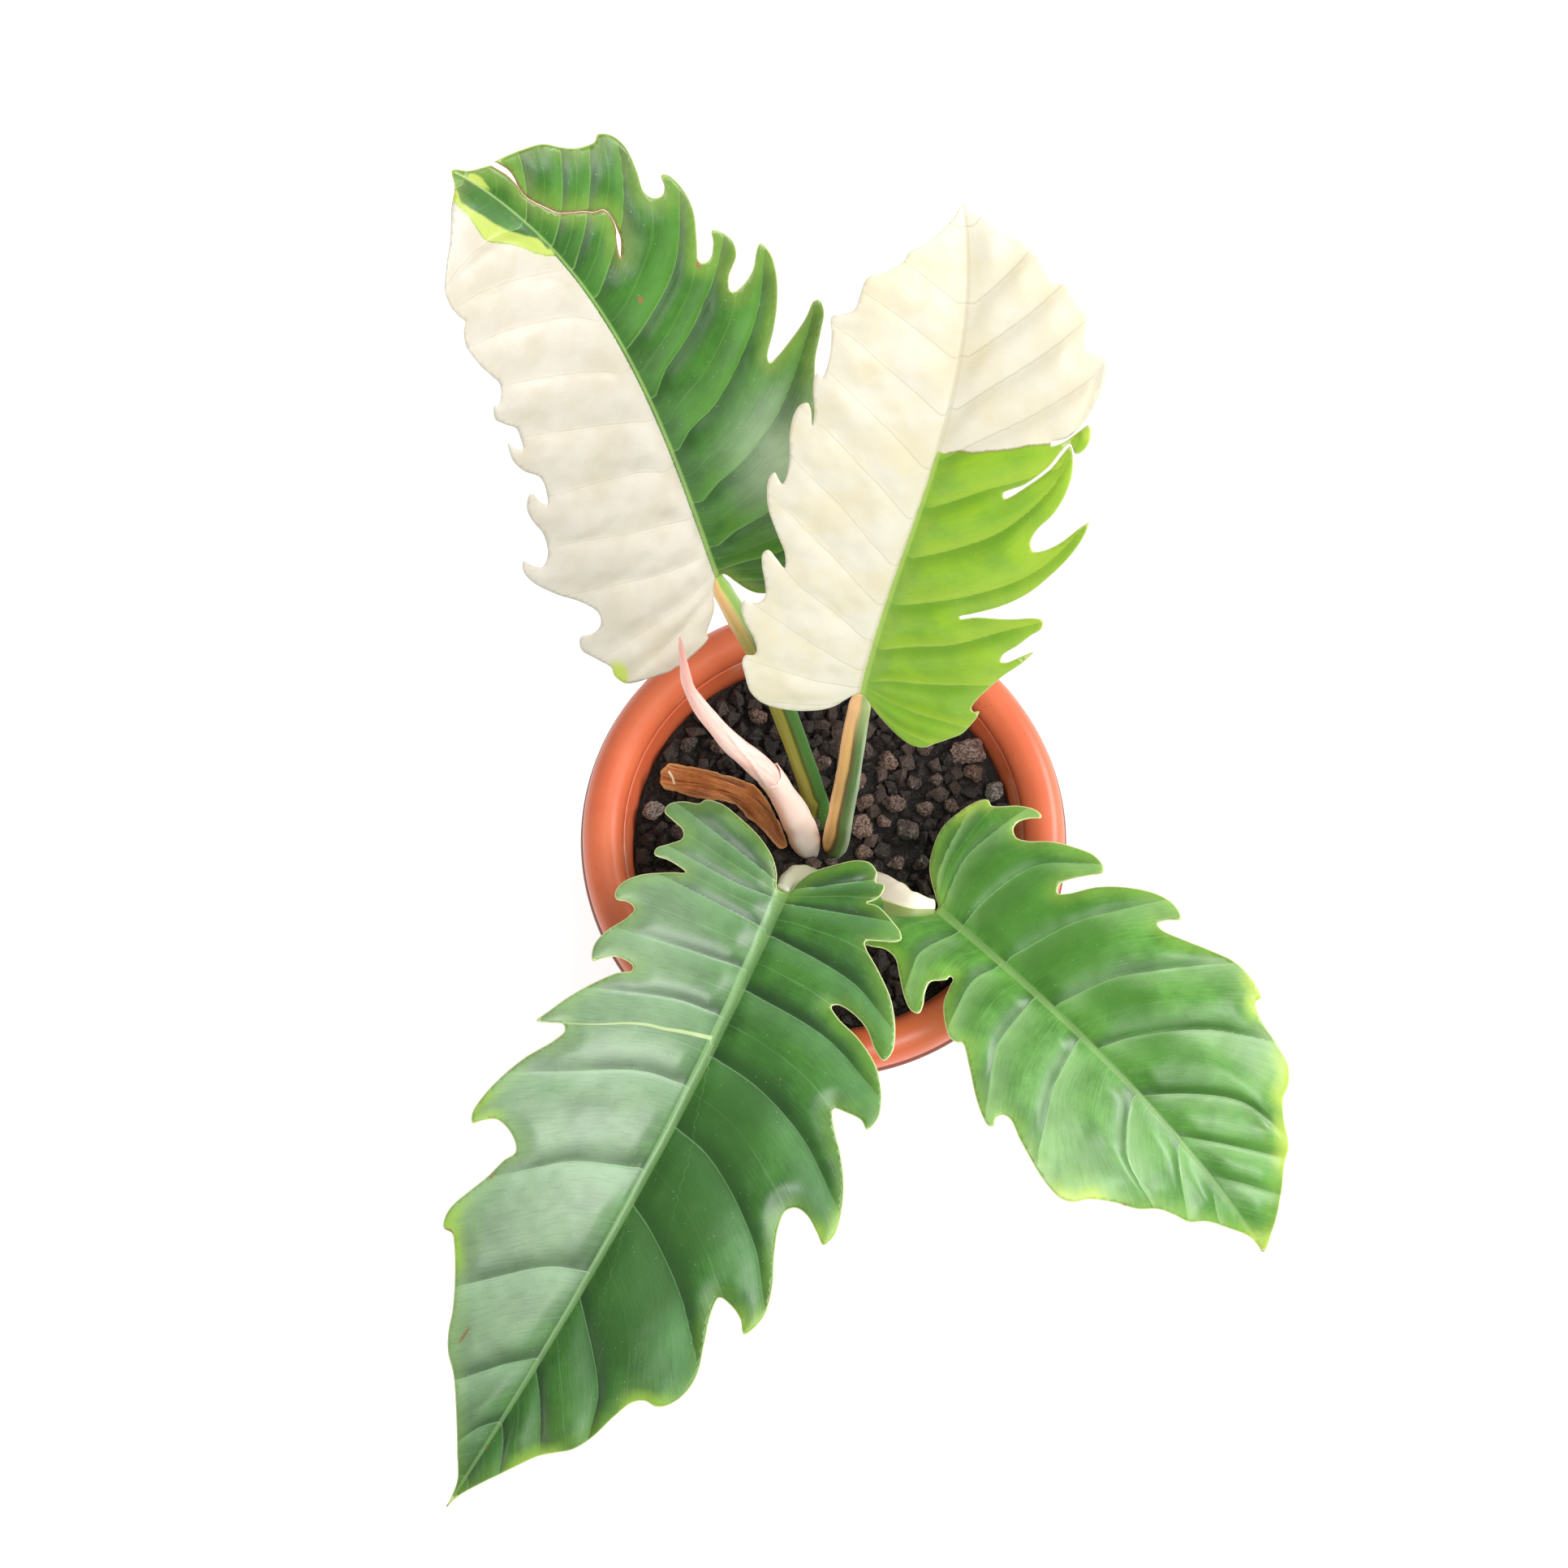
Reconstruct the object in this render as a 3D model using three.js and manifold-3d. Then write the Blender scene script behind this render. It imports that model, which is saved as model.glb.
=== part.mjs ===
// A potted variegated green saw philodendron: a terracotta-coloured pot, a bed of lava grit, and a plant with
// four toothed leaves, a new leaf that is still rolled up, its pale bud sheath and a dried sheath.
// Millimetres, +Z up. The origin is the centre of the pot's underside and -Y is the side it is seen from.
import * as THREE from "three";
import { ConvexGeometry } from "three/addons/geometries/ConvexGeometry.js";
import { mergeVertices } from "three/addons/utils/BufferGeometryUtils.js";
import Module from "manifold-3d";

const wasm = await Module();
wasm.setup();

// Driving dimensions.
const GAP = 0.35; // clearance between neighbouring pieces
const POT_HEIGHT = 135;
const POT_SEGMENTS = 60;
const FLOOR_THICKNESS = 4;
const BASE_RADIUS = 60;
const RIM_RADIUS = 81.5; // centre circle of the rolled rim
const RIM_ROLL = 7.6; // radius of the roll itself
const ROLL_STEPS = 6;
const LIP_RADIUS = 90;
const INNER_FOOT_RADIUS = 57.2;
const GRIT_LINE_RADIUS = 71.2;
const LEDGE_RADIUS = 73.2;
const GRIT_LEVEL = 118;
const DRAIN_HOLES = 6;
const DRAIN_HOLE_RADIUS = 4.5;
const DRAIN_CIRCLE_RADIUS = 38;
const BLADE_THICKNESS = 0.9;
const BLADE_CELL = 13; // spacing of the points inside a leaf blade
const MARGIN_CLEAR = 4.5; // how far those points stay from the margin
const LEAST_BULGE = 0.25; // a margin flatter than this between its points gets no point more
const DRIED_SHEATH_THICKNESS = 1.0;

const material = (colour, roughness, metalness = 0) =>
  new THREE.MeshStandardMaterial({ color: colour, roughness, metalness });
const TERRACOTTA = material("#D9603C", 0.42);
const GRIT = material("#3A302C", 0.95);
const CROWN_GREEN = material("#8F9A55", 0.6);
const PETIOLE_ORANGE = material("#C98A45", 0.45);
const PETIOLE_GREEN = material("#6F8F3E", 0.45);
const SHEATH_PALE = material("#D9D8A8", 0.5);
const CREAM_GREEN = material("#A9BE8A", 0.4);
const LIME_CREAM = material("#C3D38A", 0.4);
const LEAF_GREEN = material("#4F8F45", 0.38);
const LEAF_DEEP_GREEN = material("#3F8238", 0.38);
const BUD_PINK = material("#F6C4B6", 0.5);
const SPEAR_PINK = material("#F2B0AE", 0.5);
const DRIED_BROWN = material("#9A5A2C", 0.8);

// Leaf margins, half by half from the base to the tip: millimetres along the midrib, then out from it,
// negative to the left of the leaf's heading and positive to the right.
const BACK_LEFT_LEFT_MARGIN = [
  [-2, -2], [-7, -4], [-13, -6], [-18, -10], [-20.5, -11.5], [-23, -11.5], [-24.5, -20],
  [-24, -29], [-20, -35.5], [-15.8, -42], [-13, -45.5], [-6, -48], [-1, -48], [6, -51.5],
  [12, -54.3], [16, -53.8], [17.5, -52.6], [16, -49], [17, -45.5], [22, -44.1], [30, -47.5],
  [40, -55], [50, -60.3], [57, -61.8], [60.5, -60.5], [57, -58.5], [53.5, -55.2], [57, -52],
  [66, -51], [73, -52.5], [80, -52.8], [84.8, -50], [84, -49], [79, -47.8], [76.6, -46],
  [82, -44.6], [89, -45], [96, -49], [103, -50.6], [110.3, -49.3], [107, -48.4], [103.5, -46],
  [108, -45], [113, -44.9], [118, -47.5], [124, -49.8], [129, -48], [127.8, -46.4], [133, -42.8],
  [140, -43.7], [150, -45.4], [160, -45], [165.5, -42.3], [166.3, -40.5], [172, -41.2],
  [179, -40.8], [183.5, -39], [185.7, -32], [186.4, -23], [188.5, -13], [188.4, -5], [190, 0],
];
const BACK_LEFT_RIGHT_MARGIN = [
  [0, 2], [-6, 5], [-12, 7.8], [-16.5, 10.8], [-19.5, 15], [-20.5, 22], [-17, 30], [-11, 37],
  [-4, 43], [3, 46.5], [6, 45.5], [4, 42], [3, 39.5], [10, 42], [20, 47.5], [29, 52], [33, 52],
  [30, 47.5], [28, 43.5], [36, 47], [48, 54.5], [58, 58.5], [62, 57.5], [57, 52], [56, 48.5],
  [64, 50.8], [72, 54], [79, 58.8], [84, 62.3], [87.5, 62.5], [88, 60.5], [85, 56], [81.5, 49],
  [78.3, 42], [77.8, 39.7], [80, 39.6], [87, 44.8], [94, 49.8], [101, 53.5], [107, 54.8],
  [110.4, 53.5], [109, 51], [105.5, 47.5], [103.5, 42.5], [103.3, 39], [104.4, 37.8], [108, 39.5],
  [112, 45], [116, 46.2], [120, 44.2], [121.2, 42.3], [118.5, 40.8], [115.3, 37.5], [115.3, 35],
  [117, 33.8], [122, 36.8], [129, 41.3], [135, 42.7], [139.5, 41.8], [140.6, 40], [138, 38.6],
  [136.8, 36.5], [138, 33.6], [141, 32.6], [146, 35.3], [152, 38], [156, 37.8], [159.2, 35],
  [158.8, 32.5], [161.5, 27.5], [165, 24.5], [170, 21.5], [175, 14.8], [179.3, 8.6], [181.5, 6],
  [185, 2.5], [190, 0],
];
const BACK_RIGHT_LEFT_MARGIN = [
  [-1, -2], [-4, -4.5], [-8, -7.5], [-12, -13.5], [-14.3, -21], [-14.5, -27], [-12.5, -32.5],
  [-8, -36.5], [0, -39.2], [5, -40.9], [7.7, -40.2], [8.6, -37.5], [11, -36.9], [15, -38.5],
  [20, -42.5], [25, -45], [28.5, -44.9], [28.3, -42], [30, -39.5], [33, -38.5], [38, -39.7],
  [44, -42.2], [48.5, -43.2], [50.5, -41.8], [48.5, -38.5], [46.3, -35], [51, -36], [58, -40],
  [66, -45], [73, -47.5], [80, -48.2], [82.6, -47], [80.5, -45.3], [79, -43.7], [84, -43],
  [92, -44], [101, -46], [109, -46.2], [113.5, -45], [115.2, -43], [113, -41.6], [106.3, -39.8],
  [112, -40.2], [120, -42], [127, -42.8], [129.2, -42], [127.6, -40.5], [137, -39.6], [147, -40.2],
  [153, -41], [155, -40.3], [156, -37], [158, -34.3], [164, -33], [170, -31.8], [172.3, -30],
  [173, -25.5], [176, -20], [179, -18.2], [182, -11.5], [187, -4.5], [191, 0],
];
const BACK_RIGHT_RIGHT_MARGIN = [
  [-0.5, 1.5], [-4, 5], [-8, 10], [-11.5, 16], [-12.6, 21], [-11, 25.5], [-6, 29.6], [0, 33.8],
  [6, 37.4], [14, 39.8], [19, 40.9], [22.6, 41], [20.8, 39.2], [22, 38.3], [28, 39.3], [37, 42.2],
  [46, 45.5], [54, 49.3], [60.8, 51.6], [57, 48.5], [51.2, 44.2], [50.8, 42.8], [54, 42.8],
  [60, 46], [66, 48.8], [70, 51], [72.8, 50.3], [72, 47.5], [67, 40], [61.5, 30], [57.5, 25.2],
  [58, 24.8], [62, 28.5], [70, 36], [79, 42.5], [88, 47], [97, 50.7], [104, 52.4], [108.4, 52.3],
  [106, 50.3], [99, 46], [94.5, 41.8], [93.3, 39.3], [95.5, 37.6], [100, 38], [107, 41.2],
  [114, 42.7], [120, 42.6], [124.5, 41.2], [126.8, 39.2], [124.5, 37.9], [119, 35.6], [111, 30],
  [106, 26.3], [104.8, 24.9], [106, 24], [108.3, 26], [111.6, 29.6], [119.5, 35], [125, 37.3],
  [127.5, 38.9], [125.5, 41.6], [127.5, 44], [131, 44.6], [133.8, 43.1], [131, 40.3], [127, 36.5],
  [125.4, 33.7], [126.3, 33.4], [128.5, 37.3], [133, 40.8], [140, 43.5], [146, 44.8], [150, 44.2],
  [151, 42.8], [151.5, 38.5], [153.5, 36.7], [160, 36.3], [163.3, 33], [167.5, 29], [168, 25.3],
  [172, 22.5], [176, 19.5], [183, 10], [189, 2], [191, 0],
];
const FRONT_RIGHT_LEFT_MARGIN = [
  [2, -0.5], [-1, -2.7], [-6, -5.8], [-11, -10], [-15, -16.5], [-17.4, -24], [-16.5, -32],
  [-13.5, -40], [-10.5, -42.4], [-8, -41.5], [-5.5, -42.8], [0, -47.6], [5, -50.3], [8.3, -50.5],
  [9.6, -49.6], [6.5, -46.5], [4.4, -43], [4.7, -40], [8, -38], [12, -39.5], [19, -45], [27, -49],
  [34, -51.2], [39, -50.2], [40.2, -48.3], [37.5, -44.5], [33.5, -39], [31.6, -35], [33.2, -32.1],
  [36, -34.3], [42, -43], [49, -49.6], [58, -55.3], [64, -57], [68, -56.3], [70.2, -54.8],
  [67, -50.8], [65.7, -47.8], [68, -47.2], [75, -49.8], [84, -54], [92, -57.3], [99, -57.5],
  [104, -56.3], [106, -54.8], [105.6, -52.8], [110, -50], [120, -48.3], [127, -46.5], [132, -42],
  [134.2, -37.5], [140, -32.8], [147, -29], [152, -23], [160, -15.5], [167, -8], [173, 0],
];
const FRONT_RIGHT_RIGHT_MARGIN = [
  [2, 1.5], [-4, 1.4], [-10, 3], [-15, 6], [-19, 11], [-20, 17], [-17, 23], [-11, 27.5],
  [-5.5, 29.3], [-2, 28], [2, 25.6], [7, 25.5], [14, 30], [21, 34.6], [26, 36.5], [28.7, 35.5],
  [27.5, 32], [24.5, 28], [22.8, 23.5], [25, 20.6], [26.3, 18.6], [26, 17.2], [27.5, 17.2],
  [28.8, 20], [32, 26.5], [38, 32], [43, 34.6], [46, 34], [47, 33], [55, 38], [63, 43.6],
  [70, 47.3], [74, 48.3], [75.3, 47], [73.8, 44.5], [74.5, 42], [77, 41], [85, 44], [95, 46.7],
  [103, 48], [109, 47.7], [113, 45], [115.5, 40.7], [122, 34.7], [130, 29], [135.3, 22.8],
  [140, 19.9], [146, 16.8], [150, 11.7], [158, 5.8], [165, 1.3], [169, 0.4], [173, 0],
];
const FRONT_LEFT_LEFT_MARGIN = [
  [1, -2], [-4, -4.4], [-9, -8], [-14, -14.8], [-18, -21.5], [-18.6, -26.5], [-15.5, -30.5],
  [-12.2, -31.2], [-12, -34.5], [-8.5, -35.2], [-5, -33.6], [-3, -31.2], [-3, -35], [0, -41],
  [3.5, -46.5], [6, -47.8], [7.6, -45.8], [9, -41], [10.8, -36], [13, -37.3], [19, -44.5],
  [27, -53], [36, -58.7], [43, -60.8], [46.6, -59.3], [44.5, -55], [39, -49], [36, -43],
  [34.7, -36], [36, -34], [39, -38], [43, -48], [50, -58.5], [58, -64.3], [64, -66], [69, -64.2],
  [67, -61], [66.7, -55], [67.3, -50.4], [72, -53], [80, -60.3], [88, -65.8], [97, -69.6],
  [103, -70.5], [107, -68.7], [104.5, -64.5], [101.2, -58.5], [100.8, -54], [103, -51.4],
  [108, -51.6], [117, -55.2], [126, -60], [134, -62.2], [139, -61.5], [143, -59.2], [139.5, -55.5],
  [137.3, -50], [137.2, -45.2], [143, -45.6], [152, -48.8], [162, -52], [170, -51.3], [175.5, -48],
  [177.4, -45], [177.8, -41], [180.5, -37.5], [188, -34.5], [197, -32], [205, -28.3], [210, -23.5],
  [215, -18.7], [225, -12.8], [236, -6.8], [246, -2], [253.5, 0],
];
const FRONT_LEFT_RIGHT_MARGIN = [
  [1, 2], [-4, 4.3], [-9, 8], [-14, 15], [-17.5, 25], [-19.2, 33], [-18, 38.7], [-15.6, 40.5],
  [-14, 46], [-11, 50.3], [-7.5, 50.7], [-5.5, 46.5], [-3.5, 41.8], [-0.5, 40.8], [3, 44], [7, 48],
  [9.7, 47.6], [9.4, 42], [10.9, 34.7], [13, 39], [19, 49], [25, 54], [29.5, 54.8], [31.5, 53.3],
  [30.6, 49], [32, 46], [36, 47], [43, 51.3], [49, 53.3], [53, 53], [56, 51.3], [53.5, 48.3],
  [50.9, 44], [51.3, 37.8], [53, 37.2], [56, 41.5], [64, 48.3], [72, 53.5], [79, 57], [84.5, 59.4],
  [83, 55], [81.3, 50.5], [83, 48.9], [88, 50.8], [98, 57], [108, 61.2], [117, 63.5], [124, 64],
  [127.2, 62.2], [124.5, 59.3], [122, 55.5], [122.8, 50.5], [126, 45.5], [129, 43.9], [133, 46],
  [141, 48.3], [149, 51.5], [156, 54], [161, 54.2], [164.6, 52.6], [164.6, 49.3], [168, 46.3],
  [178, 40.2], [188, 35.3], [196, 32.4], [202, 29], [208, 23.3], [220, 15], [232, 7.8], [242, 2],
  [249, 0.5], [253.5, 0],
];

// Each blade: where its base is, how long the midrib is, how its heading (degrees from +Y towards +X) and its
// slope above level run from base to tip, how far the halves fold up and how much the margins droop again.
const BLADES = [
  { name: "leaf_blade_back_left", base: [-36.7, 52.1, 270], length: 189.1, heading: [-33.3, 31, -75.9], slope: [70, -30],
    fold: 13, droop: 0.0014, left: BACK_LEFT_LEFT_MARGIN, right: BACK_LEFT_RIGHT_MARGIN, material: CREAM_GREEN },
  { name: "leaf_blade_back_right", base: [10.7, 13, 265], length: 189.8, heading: [17.9, 53.3, -83.9], slope: [68, -26],
    fold: 13, droop: 0.0014, left: BACK_RIGHT_LEFT_MARGIN, right: BACK_RIGHT_RIGHT_MARGIN, material: LIME_CREAM },
  { name: "leaf_blade_front_right", base: [38.7, -33.7, 158], length: 171.8, heading: [135.3, -4.8, 13.1], slope: [22, -46],
    fold: 14, droop: 0.0014, left: FRONT_RIGHT_LEFT_MARGIN, right: FRONT_RIGHT_RIGHT_MARGIN, material: LEAF_GREEN },
  { name: "leaf_blade_front_left", base: [-14.9, -29.5, 166], length: 252.6, heading: [-158.8, 16.7, -1.3], slope: [12, -42],
    fold: 15, droop: 0.0014, left: FRONT_LEFT_LEFT_MARGIN, right: FRONT_LEFT_RIGHT_MARGIN, material: LEAF_DEEP_GREEN },
];

// Larger surface stones: x, y, half width, half depth, half height.
const STONES = [
  [14.3, 5.2, 4.4, 5.0, 4.0], [13.4, 22.6, 3.6, 4.2, 3.4], [15.6, 14.4, 3.9, 3.4, 3.2], [24.0, 31.0, 4.2, 3.9, 3.4],
  [54.0, 35.0, 7.2, 5.2, 4.8], [56.0, 25.8, 4.0, 3.6, 3.4], [63.8, 19.6, 3.6, 4.4, 3.2], [26.4, 14.2, 4.7, 3.5, 3.3],
  [38.0, 12.6, 3.9, 3.3, 3.2], [31.0, 3.4, 4.6, 4.8, 3.4], [22.4, 7.2, 3.0, 3.0, 2.6], [41.6, 23.6, 3.2, 3.0, 2.8],
  [33.6, 22.6, 3.3, 2.9, 2.8], [15.2, -5.0, 3.6, 3.3, 3.0], [26.6, -8.4, 3.5, 2.9, 2.8], [36.4, -8.6, 3.4, 3.6, 3.0],
  [-3.6, -8.8, 3.2, 2.6, 2.6], [-3.2, 6.2, 2.6, 2.2, 2.4], [2.7, -8.9, 2.6, 2.0, 2.2], [0.2, 29.8, 3.6, 3.3, 2.9], [16.4, 35.4, 3.4, 3.7, 3.0],
  [38.4, 36.0, 3.5, 3.2, 2.9], [-63.2, 11.4, 4.4, 4.2, 3.6], [-53.6, 3.2, 3.3, 3.3, 2.8], [-59.8, -4.4, 3.3, 3.0, 2.8],
  [-24.6, 48.6, 3.8, 3.4, 3.0], [-38.6, 37.0, 4.0, 3.6, 3.2], [-50.8, 37.6, 3.8, 3.6, 3.0], [48.0, 13.8, 3.2, 3.2, 2.8],
];

// Centre lines and sizes of the stalks: points of the line, then [share of the length, width, thickness].
const STALKS = {
  crown: { line: [[2, -2, 90], [1.4, -2, 100], [0.8, -2, 109.6]], size: [[0, 9, 9], [0.5, 14, 13], [1, 15, 14]] },
  petiole_back_right: {
    line: [[2.6, -2.8, 109.4], [4.2, -1.8, 121], [5.7, 0.6, 150], [7.9, 5, 195], [9.7, 10.4, 236], [10.5, 12.3, 250], [11.1, 14.1, 263.7]],
    size: [[0, 7, 6], [0.08, 10.2, 8.6], [0.3, 9.4, 8.2], [0.7, 8.4, 7.4], [0.92, 7.6, 6.4], [1, 4.6, 3.6]],
  },
  petiole_back_left: {
    line: [[0.4, 1.6, 109.4], [-2.2, 12.6, 121], [-4.4, 15.6, 134], [-7.6, 19.6, 154], [-14.6, 28.8, 190], [-25, 40.4, 232], [-35.7, 50.6, 262.3],
      [-37.4, 53.1, 268.7]],
    size: [[0, 7, 6], [0.1, 9.2, 8.2], [0.5, 8.8, 7.8], [0.85, 8, 7.2], [0.95, 7, 6], [1, 4.4, 3.4]],
  },
  petiole_front_left: {
    line: [[-0.4, -6.6, 109.4], [-1.6, -14.9, 121], [-4.6, -16.9, 134], [-9.6, -21.4, 149], [-13.2, -26.6, 160.4], [-14.9, -29.6, 165.4]],
    size: [[0, 6, 5], [0.2, 9.6, 7.4], [0.6, 11, 7], [0.85, 8.4, 6], [1, 5.6, 3.4]],
  },
  petiole_front_right: {
    line: [[4, -6.2, 109.4], [7.8, -15.6, 121], [12.6, -20.8, 134], [20.6, -27.4, 145], [30, -32, 152.2], [38.6, -33.6, 156.2]],
    size: [[0, 6, 5], [0.2, 9, 7], [0.55, 14.6, 7], [0.75, 14, 6.4], [0.9, 9.6, 5.4], [1, 6, 3.4]],
  },
  bud_sheath: {
    line: [[-3.4, -2.4, 109.6], [-5.8, -1.4, 119], [-9.4, 2.4, 136], [-13.6, 5.6, 154], [-17.6, 8, 170], [-19.6, 9.2, 176]],
    size: [[0, 5, 5], [0.07, 9.4, 8], [0.22, 12, 10], [0.5, 11.4, 10], [0.8, 9.6, 9], [1, 9, 8.6]],
  },
  rolled_new_leaf: {
    line: [[-14.6, 5.9, 159], [-18.7, 8.6, 173], [-25.3, 10.9, 190], [-31.8, 13.1, 204], [-37, 15.5, 218], [-42.2, 17.8, 234],
      [-45.8, 19.6, 252], [-47.8, 22.6, 270], [-48.4, 25.2, 287]],
    size: [[0, 5.6, 5.6], [0.11, 6.6, 6.4], [0.2, 8.4, 7.2], [0.33, 7.2, 6.2], [0.5, 5.4, 5], [0.75, 3.6, 3.4], [0.93, 1.9, 1.8], [1, 0.8, 0.8]],
  },
};

// The dried sheath's outline on the grit, seen from above.
const DRIED_OUTLINE = [
  [-60.6, 20.8], [-59.8, 26.6], [-57.2, 28.9], [-50, 27.9], [-43, 26.3], [-37.6, 24.8], [-31, 23], [-26, 20.8], [-22, 16],
  [-19, 11], [-16.6, 6], [-14.6, 1.4], [-13.4, -3.4], [-16.4, -3.6], [-20.4, 1], [-24.6, 5.6], [-29, 9.2], [-32, 12.6],
  [-37.6, 14.6], [-43.8, 15.4], [-50.8, 17.2], [-56.6, 19.4],
];

// A repeatable hash of a number, from 0 to 1.
function hash(n) {
  const s = Math.sin(n * 127.1 + 11.7) * 43758.5453;
  return s - Math.floor(s);
}

// The level of the grit at a point: gentle heaps, a little higher at the crown.
function gritLevel(x, y) {
  const heaps = 0.9 * Math.sin(x * 0.21 + 1.3) * Math.cos(y * 0.17 - 0.4) + 0.6 * Math.sin(x * 0.09 - y * 0.13);
  return GRIT_LEVEL + heaps + 1.5 * Math.exp(-(x * x + y * y) / 600);
}

// A closed geometry as a solid with outward faces.
function solidOf(geometry) {
  const bare = new THREE.BufferGeometry().setAttribute("position", geometry.getAttribute("position").clone());
  if (geometry.index) bare.setIndex(geometry.index.clone());
  const merged = mergeVertices(bare, 1e-4);
  return new wasm.Manifold(
    new wasm.Mesh({
      numProp: 3,
      vertProperties: new Float32Array(merged.attributes.position.array),
      triVerts: new Uint32Array(merged.index.array),
    }),
  );
}

// A solid back as a geometry.
function geometryOf(body) {
  const mesh = body.getMesh();
  const positions = new Float32Array(mesh.numVert * 3);
  for (let i = 0; i < mesh.numVert; i++) {
    positions.set(mesh.vertProperties.subarray(i * mesh.numProp, i * mesh.numProp + 3), i * 3);
  }
  const geometry = new THREE.BufferGeometry()
    .setAttribute("position", new THREE.BufferAttribute(positions, 3))
    .setIndex(new THREE.BufferAttribute(new Uint32Array(mesh.triVerts), 1));
  geometry.computeVertexNormals();
  return geometry;
}

// What is left of a solid outside its neighbours: the biggest piece, without cut-off crumbs.
function clearOf(body, neighbours) {
  const rest = neighbours.reduce((left, other) => left.subtract(other), body);
  return rest.decompose().sort((a, b) => b.volume() - a.volume())[0];
}

// A solid joined with copies of itself moved a gap's width in every direction of the 27 cells of a cube, for the
// room that its neighbours leave it.
function swollen(body) {
  const reach = [-GAP, 0, GAP];
  let sum = body;
  for (const x of reach) for (const y of reach) for (const z of reach) if (x || y || z) sum = sum.add(body.translate([x, y, z]));
  return sum;
}

// Eased interpolation in a table of [share, value, value].
function sizeAt(table, t) {
  let i = 1;
  while (i < table.length - 1 && table[i][0] < t) i++;
  const [t0, w0, h0] = table[i - 1];
  const [t1, w1, h1] = table[i];
  const k = THREE.MathUtils.smoothstep(t, t0, t1);
  return [w0 + (w1 - w0) * k, h0 + (h1 - h0) * k];
}

// A stalk: a bar extruded along Z in steps and bent round the centre line. Its section has a shallow channel on
// the upper side. `grow` swells it all round, for the socket it sits in.
function stalk({ line, size }, { steps = 14, sides = 12, channel = 0.16, grow = 0 } = {}) {
  const section = new THREE.Shape();
  for (let i = 0; i < sides; i++) {
    const angle = Math.PI / 2 + (2 * Math.PI * i) / sides;
    const radius = i === 0 ? 1 - channel : 1;
    const x = Math.cos(angle) * radius;
    const y = Math.sin(angle) * radius;
    if (i === 0) section.moveTo(x, y);
    else section.lineTo(x, y);
  }
  section.closePath();
  const bar = new THREE.ExtrudeGeometry(section, { depth: 1, steps, bevelEnabled: false });
  const path = new THREE.CatmullRomCurve3(line.map((p) => new THREE.Vector3(...p)), false, "centripetal");
  const vertical = new THREE.Vector3(0, 0, 1);
  const at = bar.attributes.position;
  for (let i = 0; i < at.count; i++) {
    const t = at.getZ(i);
    const along = path.getTangentAt(t);
    const side = new THREE.Vector3().crossVectors(along, vertical).normalize();
    const up = new THREE.Vector3().crossVectors(side, along);
    const [width, thickness] = sizeAt(size, t);
    const end = t < 0.001 ? -grow : t > 0.999 ? grow : 0;
    const p = path.getPointAt(t);
    p.addScaledVector(side, (-at.getX(i) * (width + 2 * grow)) / 2);
    p.addScaledVector(up, (at.getY(i) * (thickness + 2 * grow)) / 2);
    p.addScaledVector(along, end);
    at.setXYZ(i, p.x, p.y, p.z);
  }
  return bar;
}

// Signed area of a triangle, twice.
const turn = (a, b, c) => (b.x - a.x) * (c.y - a.y) - (b.y - a.y) * (c.x - a.x);

// Whether d lies inside the circle through a, b and c, which turn left.
function inCircle(a, b, c, d) {
  const [ax, ay] = [a.x - d.x, a.y - d.y];
  const [bx, by] = [b.x - d.x, b.y - d.y];
  const [cx, cy] = [c.x - d.x, c.y - d.y];
  const a2 = ax * ax + ay * ay;
  const b2 = bx * bx + by * by;
  const c2 = cx * cx + cy * cy;
  return ax * (by * c2 - b2 * cy) - ay * (bx * c2 - b2 * cx) + a2 * (bx * cy - by * cx) > 1e-6;
}

// Shortest distance from a point to a closed outline.
function distanceTo(outline, p) {
  let best = Infinity;
  const foot = new THREE.Vector3();
  const q = new THREE.Vector3(p.x, p.y, 0);
  outline.forEach((a, i) => {
    const b = outline[(i + 1) % outline.length];
    new THREE.Line3(new THREE.Vector3(a.x, a.y, 0), new THREE.Vector3(b.x, b.y, 0)).closestPointToPoint(q, true, foot);
    best = Math.min(best, foot.distanceTo(q));
  });
  return best;
}

// Triangles over a flat outline with points inside it: ear clipping, then each inner point splits the triangle
// it is in, then edges are flipped until every triangle is as round as it can be. The outline's edges stay.
function fillOutline(outline, inner) {
  const points = outline.concat(inner);
  let faces = THREE.ShapeUtils.triangulateShape(outline, []).map(([a, b, c]) =>
    turn(points[a], points[b], points[c]) > 0 ? [a, b, c] : [a, c, b],
  );
  for (let i = outline.length; i < points.length; i++) {
    const p = points[i];
    const k = faces.findIndex(([a, b, c]) =>
      turn(points[a], points[b], p) > 1e-4 && turn(points[b], points[c], p) > 1e-4 && turn(points[c], points[a], p) > 1e-4,
    );
    if (k < 0) continue;
    const [a, b, c] = faces[k];
    faces.splice(k, 1, [a, b, i], [b, c, i], [c, a, i]);
  }
  for (let pass = 0; pass < 200; pass++) {
    const owner = new Map();
    const busy = new Set();
    let flips = 0;
    faces.forEach((face, f) => face.forEach((a, i) => owner.set(a + "_" + face[(i + 1) % 3], [f, face[(i + 2) % 3]])));
    for (const [edge, [f, c]] of owner) {
      const [a, b] = edge.split("_").map(Number);
      const other = owner.get(b + "_" + a);
      if (!other || busy.has(f) || busy.has(other[0])) continue;
      const d = other[1];
      const convex = turn(points[c], points[d], points[b]) > 1e-6 && turn(points[d], points[c], points[a]) > 1e-6;
      if (!convex || !inCircle(points[a], points[b], points[c], points[d])) continue;
      faces[f] = [c, a, d];
      faces[other[0]] = [d, b, c];
      busy.add(f).add(other[0]);
      flips++;
    }
    if (!flips) break;
  }
  return { points, faces };
}

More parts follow.
